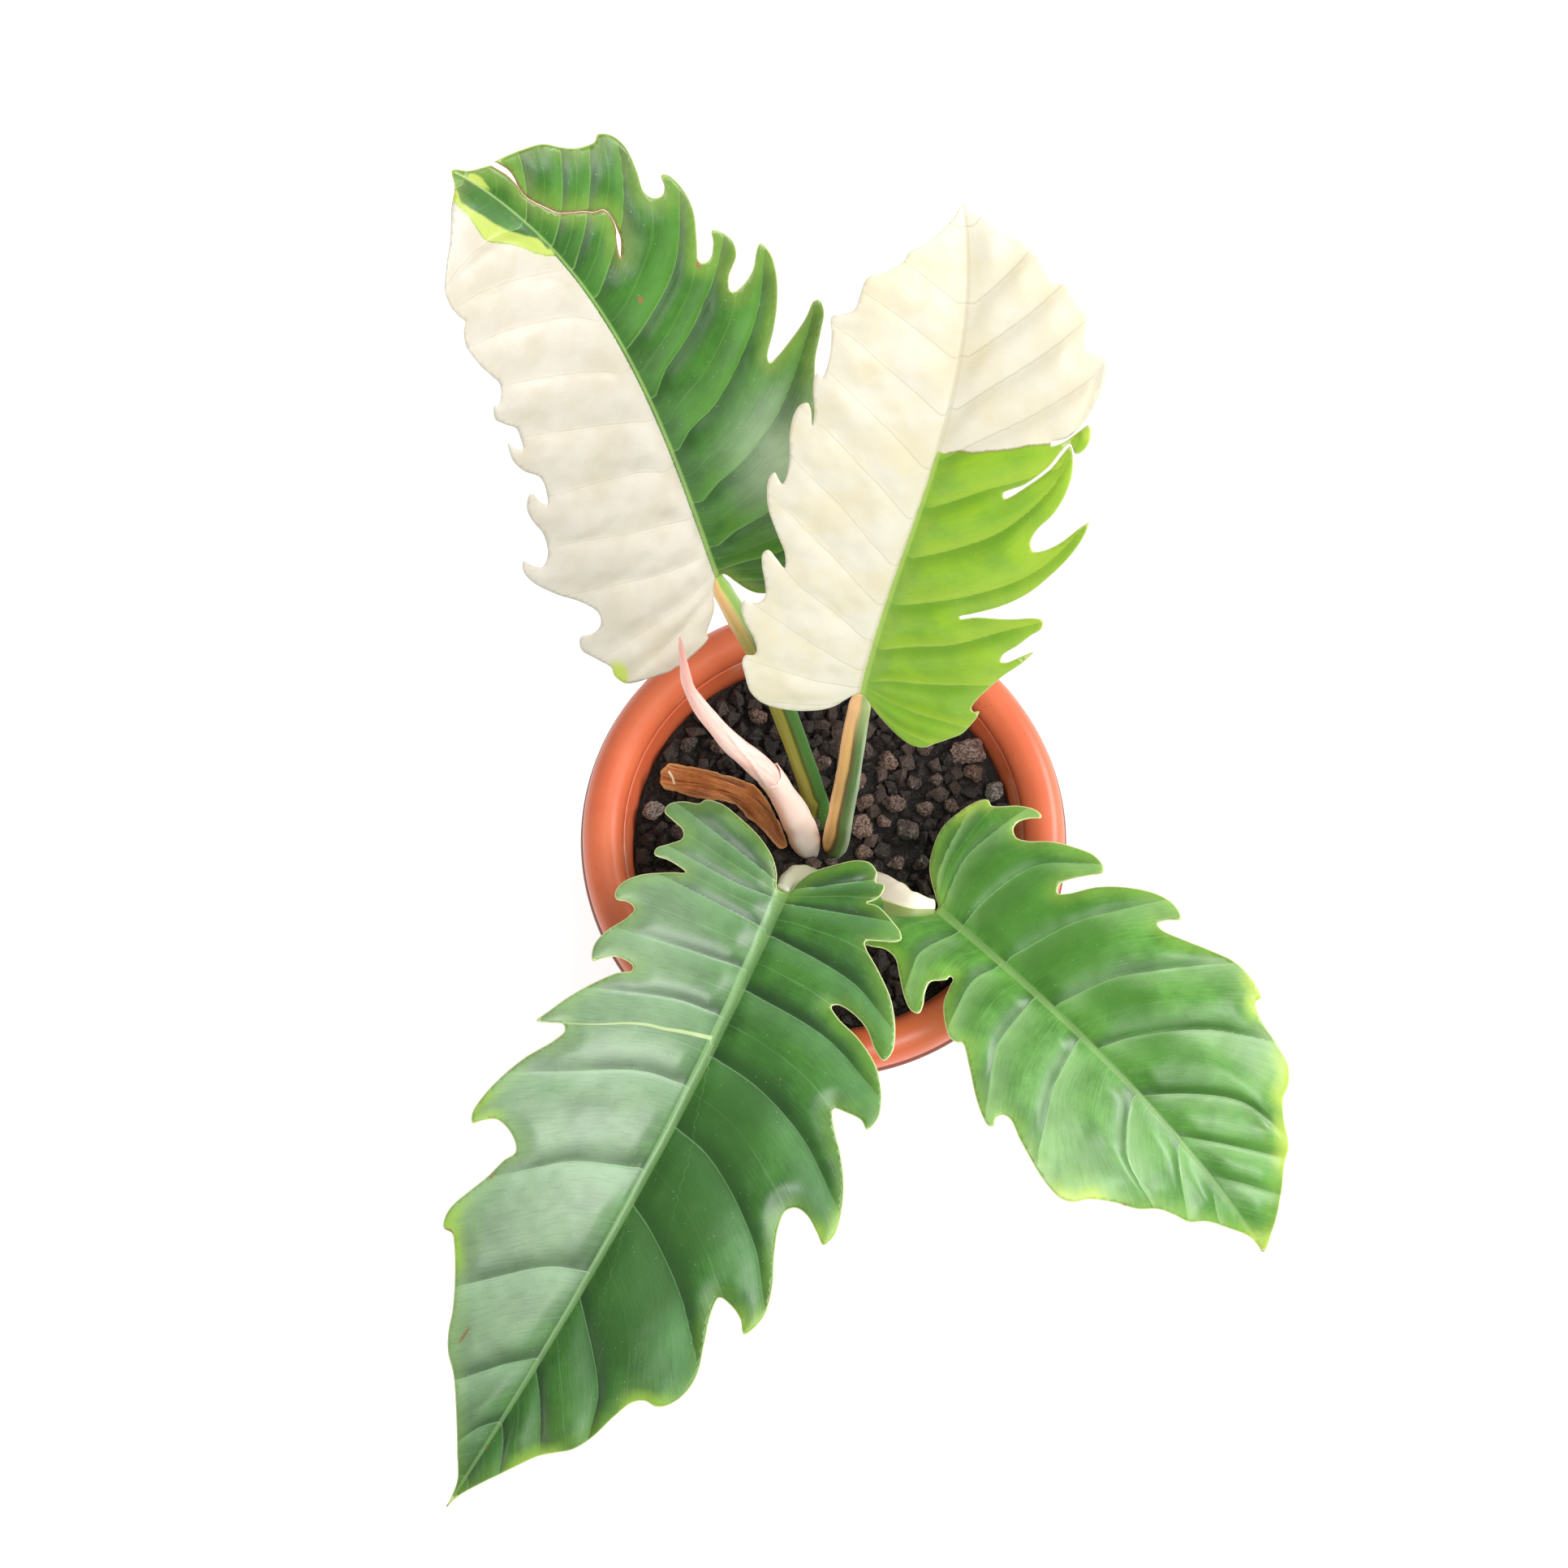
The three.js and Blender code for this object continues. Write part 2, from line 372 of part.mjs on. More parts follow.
// A thin closed sheet over an outline: `place` gives the point of its middle surface and `normal` the upper side.
function sheet(outline, inner, place, normal, thickness) {
  const { points, faces } = fillOutline(outline, inner);
  const positions = [];
  for (const side of [0.5, -0.5]) {
    for (const p of points) {
      const at = place(p.x, p.y).addScaledVector(normal(p.x, p.y), side * thickness);
      positions.push(at.x, at.y, at.z);
    }
  }
  const below = points.length;
  const index = [];
  for (const [a, b, c] of faces) index.push(a, b, c, below + a, below + c, below + b);
  outline.forEach((_, i) => {
    const j = (i + 1) % outline.length;
    index.push(i, below + i, j, j, below + i, below + j);
  });
  return new THREE.BufferGeometry()
    .setAttribute("position", new THREE.Float32BufferAttribute(positions, 3))
    .setIndex(index);
}

// A smooth closed outline through hand-set points, with one more between a pair where it bulges, turning left.
function smoothOutline(points) {
  const curve = new THREE.CatmullRomCurve3(points.map(([x, y]) => new THREE.Vector3(x, y, 0)), true, "centripetal");
  const outline = [];
  const count = points.length * 2;
  for (let i = 0; i < count; i++) {
    const p = curve.getPoint(i / count);
    const chord = new THREE.Line3(curve.getPoint((i - 1 + count) % count / count), curve.getPoint((i + 1) % count / count));
    const bulge = chord.closestPointToPoint(p, true, new THREE.Vector3()).distanceTo(p);
    if (i % 2 === 0 || bulge > LEAST_BULGE) outline.push(new THREE.Vector2(p.x, p.y));
  }
  return THREE.ShapeUtils.isClockWise(outline) ? outline.reverse() : outline;
}

// The middle surface of a leaf blade: a curved midrib, halves folded up from it, margins drooping again.
function bladeSurface({ base, length, heading, slope, fold, droop }) {
  const steps = Math.ceil(length);
  const frames = [];
  let middle = new THREE.Vector3(0, 0, 0);
  for (let i = 0; i <= steps; i++) {
    const t = i / steps;
    const h = THREE.MathUtils.degToRad(heading[0] + heading[1] * t + heading[2] * t * t);
    const s = THREE.MathUtils.degToRad(slope[0] + slope[1] * t);
    const along = new THREE.Vector3(Math.sin(h) * Math.cos(s), Math.cos(h) * Math.cos(s), Math.sin(s));
    if (i) {
      const before = frames[i - 1].along;
      middle = middle.clone().addScaledVector(before.clone().add(along), length / steps / 2);
    }
    const side = new THREE.Vector3().crossVectors(along, new THREE.Vector3(0, 0, 1)).normalize();
    frames.push({ middle, along, side, up: new THREE.Vector3().crossVectors(side, along) });
  }
  const cosFold = Math.cos(THREE.MathUtils.degToRad(fold));
  const sinFold = Math.sin(THREE.MathUtils.degToRad(fold));
  return (a, b) => {
    const on = THREE.MathUtils.clamp(a, 0, length);
    const i = Math.min(Math.floor((on / length) * steps), steps - 1);
    const k = (on / length) * steps - i;
    const mix = (key) => frames[i][key].clone().lerp(frames[i + 1][key], k);
    return mix("middle")
      .addScaledVector(mix("along"), a - on)
      .addScaledVector(mix("side"), b * cosFold)
      .addScaledVector(mix("up"), Math.abs(b) * sinFold - droop * b * b);
  };
}

// A leaf blade about its base, which is where the stalk meets it.
function blade(leaf) {
  const place = bladeSurface(leaf);
  const margin = leaf.left.concat(leaf.right.slice(0, -1).reverse());
  const outline = smoothOutline(margin.map(([a, b]) => [a, -b])); // seen from above, left of the heading is +Y
  const inner = [];
  const free = (p) => distanceTo(outline, p) > MARGIN_CLEAR && inside(outline, p);
  for (let a = 6; a < leaf.length - 4; a += 8) inner.push(new THREE.Vector2(a, 0.01));
  for (let row = -6; row <= 6; row++) {
    if (!row) continue;
    for (let a = -26 + (row % 2 ? BLADE_CELL / 2 : 0); a < leaf.length; a += BLADE_CELL) {
      const p = new THREE.Vector2(a + hash(row * 31 + a) * 0.8, row * BLADE_CELL * 0.87 + Math.sign(row) * -2);
      if (free(p)) inner.push(p);
    }
  }
  const step = 0.5;
  const normal = (a, b) => {
    const bb = Math.abs(b) < step ? (b < 0 ? -step : step) : b;
    const da = place(a + step, bb).sub(place(a - step, bb));
    const db = place(a, bb + step / 2).sub(place(a, bb - step / 2));
    const n = new THREE.Vector3().crossVectors(db, da).normalize();
    if (Math.abs(b) < step) {
      const other = new THREE.Vector3().crossVectors(
        place(a, -bb + step / 2).sub(place(a, -bb - step / 2)),
        place(a + step, -bb).sub(place(a - step, -bb)),
      ).normalize();
      n.add(other).normalize();
    }
    return n;
  };
  return sheet(outline, inner, (x, y) => place(x, -y), (x, y) => normal(x, -y), BLADE_THICKNESS);
}

// Whether a point lies inside an outline.
function inside(outline, p) {
  let odd = false;
  outline.forEach((a, i) => {
    const b = outline[(i + 1) % outline.length];
    if (a.y > p.y !== b.y > p.y && p.x < ((b.x - a.x) * (p.y - a.y)) / (b.y - a.y) + a.x) odd = !odd;
  });
  return odd;
}

// The pot: floor, thin tapering wall and a thick rolled rim over a small lip, turned about Z.
function pot() {
  const profile = [
    [0, 0], [BASE_RADIUS - 1.5, 0], [BASE_RADIUS, 1.5], [75.2, 118.5], [76.4, 120.2], [87.6, 122.2], [LIP_RADIUS, 123.2],
    [LIP_RADIUS, 124.6],
  ];
  const centre = POT_HEIGHT - RIM_ROLL;
  for (let k = 0; k <= ROLL_STEPS; k++) {
    const angle = (-0.05 + (1.12 * k) / ROLL_STEPS) * Math.PI;
    profile.push([RIM_RADIUS + RIM_ROLL * Math.cos(angle), centre + RIM_ROLL * Math.sin(angle)]);
  }
  profile.push([LEDGE_RADIUS, 123.6], [GRIT_LINE_RADIUS, 117], [INNER_FOOT_RADIUS, FLOOR_THICKNESS + 1.5],
    [INNER_FOOT_RADIUS - 1.5, FLOOR_THICKNESS], [0, FLOOR_THICKNESS]);
  const wall = new THREE.LatheGeometry(profile.map(([r, z]) => new THREE.Vector2(r, z)), POT_SEGMENTS);
  wall.rotateX(Math.PI / 2);
  let body = solidOf(wall);
  for (let i = 0; i < DRAIN_HOLES; i++) {
    const angle = ((i + 0.5) * 2 * Math.PI) / DRAIN_HOLES;
    const drill = new THREE.CylinderGeometry(DRAIN_HOLE_RADIUS, DRAIN_HOLE_RADIUS, FLOOR_THICKNESS * 3, 16);
    drill.rotateX(Math.PI / 2);
    drill.translate(DRAIN_CIRCLE_RADIUS * Math.cos(angle), DRAIN_CIRCLE_RADIUS * Math.sin(angle), 0);
    body = body.subtract(solidOf(drill));
  }
  return body;
}

// The grit bed: it fills the pot to below the rim and its top is uneven.
function gritBed() {
  const foot = FLOOR_THICKNESS + GAP;
  const profile = [[0, foot], [INNER_FOOT_RADIUS - 1.6 - GAP, foot], [INNER_FOOT_RADIUS - GAP, foot + 1.5]];
  profile.push([GRIT_LINE_RADIUS - GAP - 0.3, GRIT_LEVEL - 2.6]);
  for (const r of [69.6, 62, 52, 42, 32, 22, 12, 0]) profile.push([r, GRIT_LEVEL]);
  const bed = new THREE.LatheGeometry(profile.map(([r, z]) => new THREE.Vector2(r, z)), POT_SEGMENTS);
  bed.rotateX(Math.PI / 2);
  const at = bed.attributes.position;
  for (let i = 0; i < at.count; i++) {
    if (at.getZ(i) < GRIT_LEVEL - 0.1) continue;
    const x = at.getX(i);
    const y = at.getY(i);
    const edge = THREE.MathUtils.smoothstep(Math.hypot(x, y), 60, 69.6);
    at.setZ(i, gritLevel(x, y) * (1 - edge) + (GRIT_LEVEL - 0.8) * edge);
  }
  return solidOf(bed);
}

// A stone: the convex shape round the corners of a ball pushed in and out by a repeatable amount.
function stone([x, y, w, d, h], i, grow = 0) {
  const ball = mergeVertices(new THREE.IcosahedronGeometry(1, 1).deleteAttribute("normal").deleteAttribute("uv"), 1e-4);
  const at = ball.attributes.position;
  const corners = [];
  for (let k = 0; k < at.count; k++) {
    const push = 0.84 + 0.2 * hash(i * 57 + k * 3.7);
    const size = new THREE.Vector3(w * push + grow, d * push + grow, h * push + grow);
    corners.push(new THREE.Vector3().fromBufferAttribute(at, k).multiply(size));
  }
  const rock = new ConvexGeometry(corners);
  rock.rotateZ(hash(i) * 0.6);
  rock.translate(x, y, gritLevel(x, y) + h * 0.3);
  return solidOf(rock);
}

// The dried sheath: a curled sheet that lies on the grit.
function driedSheath() {
  const outline = smoothOutline(DRIED_OUTLINE);
  const place = (x, y) => {
    const across = (y - (21.5 - Math.max(0, x + 34) * 0.95)) / 7;
    const lift = 0.7 * Math.min(across * across, 2.4) + 0.9 * THREE.MathUtils.smoothstep(-x, 44, 60);
    return new THREE.Vector3(x, y, gritLevel(x, y) + GAP + DRIED_SHEATH_THICKNESS / 2 + lift);
  };
  const inner = [[-55, 23.6], [-48, 22], [-41, 20.4], [-34, 17.4], [-28, 14.4], [-23, 9.6], [-18, 3]].map(
    ([x, y]) => new THREE.Vector2(x, y),
  );
  return solidOf(sheet(outline, inner, place, () => new THREE.Vector3(0, 0, 1), DRIED_SHEATH_THICKNESS));
}

const plant = new THREE.Group();
const holder = new THREE.Group();

function add(group, name, geometry, look, position) {
  const mesh = new THREE.Mesh(geometry, look);
  mesh.name = name;
  if (position) mesh.position.set(...position);
  group.add(mesh);
}

const bladeClearance = [];
for (const leaf of BLADES) {
  add(plant, leaf.name, blade(leaf), leaf.material, leaf.base);
  bladeClearance.push(swollen(solidOf(blade(leaf)).translate(leaf.base)));
}

// Stalks in the order in which they keep their full shape: a later one gives way to an earlier one.
const ROUND = { channel: 0 };
const STALK_ORDER = [
  ["crown", CROWN_GREEN, ROUND],
  ["petiole_back_right", PETIOLE_ORANGE, {}],
  ["petiole_back_left", PETIOLE_GREEN, {}],
  ["rolled_new_leaf", SPEAR_PINK, { channel: 0, steps: 18, sides: 10 }],
  ["bud_sheath", BUD_PINK, ROUND],
  ["petiole_front_left", SHEATH_PALE, {}],
  ["petiole_front_right", SHEATH_PALE, {}],
];
const sockets = [];
for (const [name, look, options] of STALK_ORDER) {
  const body = clearOf(solidOf(stalk(STALKS[name], options)), [...sockets, ...bladeClearance]);
  add(plant, name, geometryOf(body), look);
  sockets.push(solidOf(stalk(STALKS[name], { ...options, grow: GAP })));
}
const dried = clearOf(driedSheath(), sockets);
add(plant, "dried_sheath", geometryOf(dried), DRIED_BROWN);
const driedSocket = swollen(dried);

const stoneSockets = [];
STONES.forEach((size, i) => {
  const body = clearOf(stone(size, i), sockets);
  add(holder, "surface_stone_" + String(i + 1).padStart(2, "0"), geometryOf(body), GRIT);
  stoneSockets.push(stone(size, i, GAP));
});
add(holder, "grit_bed", geometryOf(clearOf(gritBed(), [...sockets, driedSocket, ...stoneSockets])), GRIT);
add(holder, "pot", geometryOf(pot()), TERRACOTTA);

const part = new THREE.Group();
part.add(holder, plant);

export default part;
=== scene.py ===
# %% [markdown]
# # A potted variegated saw philodendron
# This lesson dresses a finished technical model of a potted plant for a photograph. The model gives every
# piece its place, in metres, with +Z up and the pot standing on the floor at the origin. We replace each
# piece with a finer mesh in the same place and give it a procedural finish. The plant has four large
# toothed leaves, a rolled pink new leaf in its bud sheath, a dried brown sheath, and a bed of lava grit in
# a terracotta-coloured pot.

import math

import bmesh
import bpy
import numpy as np
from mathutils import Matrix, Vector, geometry, noise


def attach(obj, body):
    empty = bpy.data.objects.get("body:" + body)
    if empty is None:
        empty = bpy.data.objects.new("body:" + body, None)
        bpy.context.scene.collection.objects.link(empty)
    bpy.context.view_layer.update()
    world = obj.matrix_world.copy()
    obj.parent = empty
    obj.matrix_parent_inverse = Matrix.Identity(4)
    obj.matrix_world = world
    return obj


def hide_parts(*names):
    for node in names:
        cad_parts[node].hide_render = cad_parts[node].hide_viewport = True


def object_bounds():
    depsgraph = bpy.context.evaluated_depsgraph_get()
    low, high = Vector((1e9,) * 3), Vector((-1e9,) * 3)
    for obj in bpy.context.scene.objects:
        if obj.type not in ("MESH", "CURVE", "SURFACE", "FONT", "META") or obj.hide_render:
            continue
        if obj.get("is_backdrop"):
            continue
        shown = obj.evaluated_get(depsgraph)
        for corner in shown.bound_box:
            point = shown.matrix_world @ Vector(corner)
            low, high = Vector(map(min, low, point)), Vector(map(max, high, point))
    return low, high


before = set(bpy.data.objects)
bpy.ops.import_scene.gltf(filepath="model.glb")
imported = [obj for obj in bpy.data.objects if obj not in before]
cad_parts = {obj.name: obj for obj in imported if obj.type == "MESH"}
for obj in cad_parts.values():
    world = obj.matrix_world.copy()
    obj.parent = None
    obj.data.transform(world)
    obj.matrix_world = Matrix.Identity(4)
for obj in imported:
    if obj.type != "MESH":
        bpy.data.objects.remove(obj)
cad_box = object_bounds()
MM = 0.001
print("frame:", len(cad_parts), "nodes, box", [tuple(round(v, 3) for v in c) for c in cad_box])

# %% [markdown]
# ## Small tools
# Colours are written as the hex values that a photo shows, which are sRGB. A renderer works in linear
# light, so one function turns them. One function adds a shader or geometry node with its settings and its
# inputs: an input is either a value or the output of another node.


# %% Colours and nodes
def linear(code):
    """An sRGB hex colour as linear RGBA."""
    parts = [int(code[i : i + 2], 16) / 255 for i in (1, 3, 5)]
    return tuple(p / 12.92 if p <= 0.04045 else ((p + 0.055) / 1.055) ** 2.4 for p in parts) + (1.0,)


def add(tree, kind, *inputs, out=None, **settings):
    """Adds a node with its settings, and sets or links its inputs: in order, or by name from a
    dictionary."""
    made = tree.nodes.new(kind if "Node" in kind else "ShaderNode" + kind)
    for key, value in settings.items():
        setattr(made, key, value)
    sockets = [socket for socket in made.inputs if socket.enabled]
    if inputs and isinstance(inputs[0], dict):
        sockets, inputs = [made.inputs[key] for key in inputs[0]], inputs[0].values()
    for socket, value in zip(sockets, inputs):
        if isinstance(value, bpy.types.NodeSocket):
            tree.links.new(value, socket)
        else:
            socket.default_value = linear(value) if str(value)[:1] == "#" else value
    return made.outputs[out] if out else next(socket for socket in made.outputs if socket.enabled)


SMOOTH = {"interpolation_type": "SMOOTHSTEP"}  # makes Map Range a soft step
COLOURS = {"data_type": "RGBA", "clamp_factor": True}  # makes Mix blend two colours
TIMES = {"operation": "MULTIPLY"}  # makes Math multiply; with no setting it adds
TIMES_PLUS = {"operation": "MULTIPLY_ADD"}  # makes Math multiply its first two inputs and add the third

# %% [markdown]
# Most finishes here are built the way a painter works: a ground colour, and over it one thin layer after
# another, each shown only where some pattern says so. Two functions do that for every material. One makes a
# mask from soft steps, the other lays the tints. A third gives a finish its colour, gloss and relief.


# %% Painting in layers
def mask(tree, *steps, most=1.0):
    """The product of soft steps. A step is a value, where it starts to show and where it shows in full."""
    shown = None
    for value, start, full in steps:
        step = add(tree, "MapRange", value, start, full, 0.0, most, **SMOOTH)
        shown = step if shown is None else add(tree, "Math", shown, step, **TIMES)
        most = 1.0
    return shown


def layered(tree, colour, *layers):
    """Lays tints over a colour. A layer is a mask and a tint, or a step of mask, how much it shows and
    a tint."""
    for *where, tint in layers:
        shown = where[0] if len(where) == 1 else mask(tree, where[:3], most=where[3])
        colour = add(tree, "Mix", shown, colour, tint, **COLOURS)
    return colour


def new_material(name, roughness, **constants):
    """A material with one Principled shader whose constant inputs are set on its own sockets."""
    made = bpy.data.materials.new(name)
    made.use_nodes = True
    shader = made.node_tree.nodes["Principled BSDF"]
    shader.inputs["Roughness"].default_value = roughness
    for key, value in constants.items():
        shader.inputs[key.replace("_", " ")].default_value = value
    return made, made.node_tree, shader


def dress(tree, shader, colour, roughness, strength, depth, height):
    """Links a finish's colour, its roughness if that varies, and its relief, whose depth is in metres."""
    bumps = add(tree, "Bump", {"Strength": strength, "Distance": depth, "Height": height})
    for name, value in (("Base Color", colour), ("Roughness", roughness), ("Normal", bumps)):
        if value is not None:
            tree.links.new(value, shader.inputs[name])


# %% [markdown]
# One function makes a mesh object from numpy arrays, with numbers stored on its points for the materials to
# read, which lets a pattern follow a leaf instead of the room. Another ties the finished piece to the
# technical model.


# %% Making and handing over a piece
def mesh_object(name, points, faces, material, numbers=None, uv=None):
    """A mesh object at the origin. points are in millimetres, numbers are named values per point."""
    mesh = bpy.data.meshes.new(name)
    mesh.from_pydata((np.asarray(points) * MM).tolist(), [], faces)
    mesh.polygons.foreach_set("use_smooth", [True] * len(mesh.polygons))
    for key, values in (numbers or {}).items():
        layer = mesh.attributes.new(key, "FLOAT", "POINT")
        layer.data.foreach_set("value", np.asarray(values, dtype=np.float32))
    if uv is not None:
        corners = np.empty(len(mesh.loops), dtype=np.int32)
        mesh.loops.foreach_get("vertex_index", corners)
        spread = np.asarray(uv, dtype=np.float32)[corners]
        mesh.uv_layers.new(name="OFBake").data.foreach_set("uv", spread.ravel())
    mesh.materials.append(material)
    mesh.update()
    made = bpy.data.objects.new(name, mesh)
    bpy.context.scene.collection.objects.link(made)
    return made


def finished(piece, nodes):
    """Ties a piece to the model: it rides on the root body, and the nodes it stands for are hidden."""
    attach(piece, "root")
    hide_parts(*nodes)
    print(piece.name, len(piece.data.polygons), "faces")


def smooth01(x):
    """Smooth step of a numpy array from 0 to 1."""
    x = np.clip(x, 0, 1)
    return x * x * (3 - 2 * x)


# %% [markdown]
# ## The shape of a leaf
# A leaf of this plant is a thin sheet on a strong midrib. Drawing it flat and bending it afterwards is
# easier than modelling it in space, and it is how the leaf grows. So each leaf is written down flat, in
# millimetres along the midrib and out from it, as read along the edge of the real leaf, and a short rule
# bends it: the midrib has a heading and a slope that change on the way, the halves fold up from it like an
# open book, and the margins droop again.

# %% Leaf margins, flat, in millimetres: along the midrib, then out from it (left is negative)
BACK_LEFT_LEFT_MARGIN = [
    (-2, -2), (-7, -4), (-13, -6), (-18, -10), (-20.5, -11.5), (-23, -11.5), (-24.5, -20), (-24, -29),
    (-20, -35.5), (-15.8, -42), (-13, -45.5), (-6, -48), (-1, -48), (6, -51.5), (12, -54.3), (16, -53.8),
    (17.5, -52.6), (16, -49), (17, -45.5), (22, -44.1), (30, -47.5), (40, -55), (50, -60.3), (57, -61.8),
    (60.5, -60.5), (57, -58.5), (53.5, -55.2), (57, -52), (66, -51), (73, -52.5), (80, -52.8), (84.8, -50),
    (84, -49), (79, -47.8), (76.6, -46), (82, -44.6), (89, -45), (96, -49), (103, -50.6), (110.3, -49.3),
    (107, -48.4), (103.5, -46), (108, -45), (113, -44.9), (118, -47.5), (124, -49.8), (129, -48),
    (127.8, -46.4), (133, -42.8), (140, -43.7), (150, -45.4), (160, -45), (165.5, -42.3), (166.3, -40.5),
    (172, -41.2), (179, -40.8), (183.5, -39), (185.7, -32), (186.4, -23), (188.5, -13), (188.4, -5),
    (190, 0),
]
BACK_LEFT_RIGHT_MARGIN = [
    (0, 2), (-6, 5), (-12, 7.8), (-16.5, 10.8), (-19.5, 15), (-20.5, 22), (-17, 30), (-11, 37), (-4, 43),
    (3, 46.5), (6, 45.5), (4, 42), (3, 39.5), (10, 42), (20, 47.5), (29, 52), (33, 52), (30, 47.5),
    (28, 43.5), (36, 47), (48, 54.5), (58, 58.5), (62, 57.5), (57, 52), (56, 48.5), (64, 50.8), (72, 54),
    (79, 58.8), (84, 62.3), (87.5, 62.5), (88, 60.5), (85, 56), (81.5, 49), (78.3, 42), (77.8, 39.7),
    (80, 39.6), (87, 44.8), (94, 49.8), (101, 53.5), (107, 54.8), (110.4, 53.5), (109, 51), (105.5, 47.5),
    (103.5, 42.5), (103.3, 39), (104.4, 37.8), (108, 39.5), (112, 45), (116, 46.2), (120, 44.2),
    (121.2, 42.3), (118.5, 40.8), (115.3, 37.5), (115.3, 35), (117, 33.8), (122, 36.8), (129, 41.3),
    (135, 42.7), (139.5, 41.8), (140.6, 40), (138, 38.6), (136.8, 36.5), (138, 33.6), (141, 32.6),
    (146, 35.3), (152, 38), (156, 37.8), (159.2, 35), (158.8, 32.5), (161.5, 27.5), (165, 24.5),
    (170, 21.5), (175, 14.8), (179.3, 8.6), (181.5, 6), (185, 2.5), (190, 0),
]
BACK_RIGHT_LEFT_MARGIN = [
    (-1, -2), (-4, -4.5), (-8, -7.5), (-12, -13.5), (-14.3, -21), (-14.5, -27), (-12.5, -32.5), (-8, -36.5),
    (0, -39.2), (5, -40.9), (7.7, -40.2), (8.6, -37.5), (11, -36.9), (15, -38.5), (20, -42.5), (25, -45),
    (28.5, -44.9), (28.3, -42), (30, -39.5), (33, -38.5), (38, -39.7), (44, -42.2), (48.5, -43.2),
    (50.5, -41.8), (48.5, -38.5), (46.3, -35), (51, -36), (58, -40), (66, -45), (73, -47.5), (80, -48.2),
    (82.6, -47), (80.5, -45.3), (79, -43.7), (84, -43), (92, -44), (101, -46), (109, -46.2), (113.5, -45),
    (115.2, -43), (113, -41.6), (106.3, -39.8), (112, -40.2), (120, -42), (127, -42.8), (129.2, -42),
    (127.6, -40.5), (137, -39.6), (147, -40.2), (153, -41), (155, -40.3), (156, -37), (158, -34.3),
    (164, -33), (170, -31.8), (172.3, -30), (173, -25.5), (176, -20), (179, -18.2), (182, -11.5),
    (187, -4.5), (191, 0),
]
BACK_RIGHT_RIGHT_MARGIN = [
    (-0.5, 1.5), (-4, 5), (-8, 10), (-11.5, 16), (-12.6, 21), (-11, 25.5), (-6, 29.6), (0, 33.8), (6, 37.4),
    (14, 39.8), (19, 40.9), (22.6, 41), (20.8, 39.2), (22, 38.3), (28, 39.3), (37, 42.2), (46, 45.5),
    (54, 49.3), (60.8, 51.6), (57, 48.5), (51.2, 44.2), (50.8, 42.8), (54, 42.8), (60, 46), (66, 48.8),
    (70, 51), (72.8, 50.3), (72, 47.5), (67, 40), (61.5, 30), (57.5, 25.2), (58, 24.8), (62, 28.5),
    (70, 36), (79, 42.5), (88, 47), (97, 50.7), (104, 52.4), (108.4, 52.3), (106, 50.3), (99, 46),
    (94.5, 41.8), (93.3, 39.3), (95.5, 37.6), (100, 38), (107, 41.2), (114, 42.7), (120, 42.6),
    (124.5, 41.2), (126.8, 39.2), (124.5, 37.9), (119, 35.6), (111, 30), (106, 26.3), (104.8, 24.9),
    (106, 24), (108.3, 26), (111.6, 29.6), (119.5, 35), (125, 37.3), (127.5, 38.9), (125.5, 41.6),
    (127.5, 44), (131, 44.6), (133.8, 43.1), (131, 40.3), (127, 36.5), (125.4, 33.7), (126.3, 33.4),
    (128.5, 37.3), (133, 40.8), (140, 43.5), (146, 44.8), (150, 44.2), (151, 42.8), (151.5, 38.5),
    (153.5, 36.7), (160, 36.3), (163.3, 33), (167.5, 29), (168, 25.3), (172, 22.5), (176, 19.5), (183, 10),
    (189, 2), (191, 0),
]
FRONT_RIGHT_LEFT_MARGIN = [
    (2, -0.5), (-1, -2.7), (-6, -5.8), (-11, -10), (-15, -16.5), (-17.4, -24), (-16.5, -32), (-13.5, -40),
    (-10.5, -42.4), (-8, -41.5), (-5.5, -42.8), (0, -47.6), (5, -50.3), (8.3, -50.5), (9.6, -49.6),
    (6.5, -46.5), (4.4, -43), (4.7, -40), (8, -38), (12, -39.5), (19, -45), (27, -49), (34, -51.2),
    (39, -50.2), (40.2, -48.3), (37.5, -44.5), (33.5, -39), (31.6, -35), (33.2, -32.1), (36, -34.3),
    (42, -43), (49, -49.6), (58, -55.3), (64, -57), (68, -56.3), (70.2, -54.8), (67, -50.8), (65.7, -47.8),
    (68, -47.2), (75, -49.8), (84, -54), (92, -57.3), (99, -57.5), (104, -56.3), (106, -54.8),
    (105.6, -52.8), (110, -50), (120, -48.3), (127, -46.5), (132, -42), (134.2, -37.5), (140, -32.8),
    (147, -29), (152, -23), (160, -15.5), (167, -8), (173, 0),
]
FRONT_RIGHT_RIGHT_MARGIN = [
    (2, 1.5), (-4, 1.4), (-10, 3), (-15, 6), (-19, 11), (-20, 17), (-17, 23), (-11, 27.5), (-5.5, 29.3),
    (-2, 28), (2, 25.6), (7, 25.5), (14, 30), (21, 34.6), (26, 36.5), (28.7, 35.5), (27.5, 32), (24.5, 28),
    (22.8, 23.5), (25, 20.6), (26.3, 18.6), (26, 17.2), (27.5, 17.2), (28.8, 20), (32, 26.5), (38, 32),
    (43, 34.6), (46, 34), (47, 33), (55, 38), (63, 43.6), (70, 47.3), (74, 48.3), (75.3, 47), (73.8, 44.5),
    (74.5, 42), (77, 41), (85, 44), (95, 46.7), (103, 48), (109, 47.7), (113, 45), (115.5, 40.7),
    (122, 34.7), (130, 29), (135.3, 22.8), (140, 19.9), (146, 16.8), (150, 11.7), (158, 5.8), (165, 1.3),
    (169, 0.4), (173, 0),
]
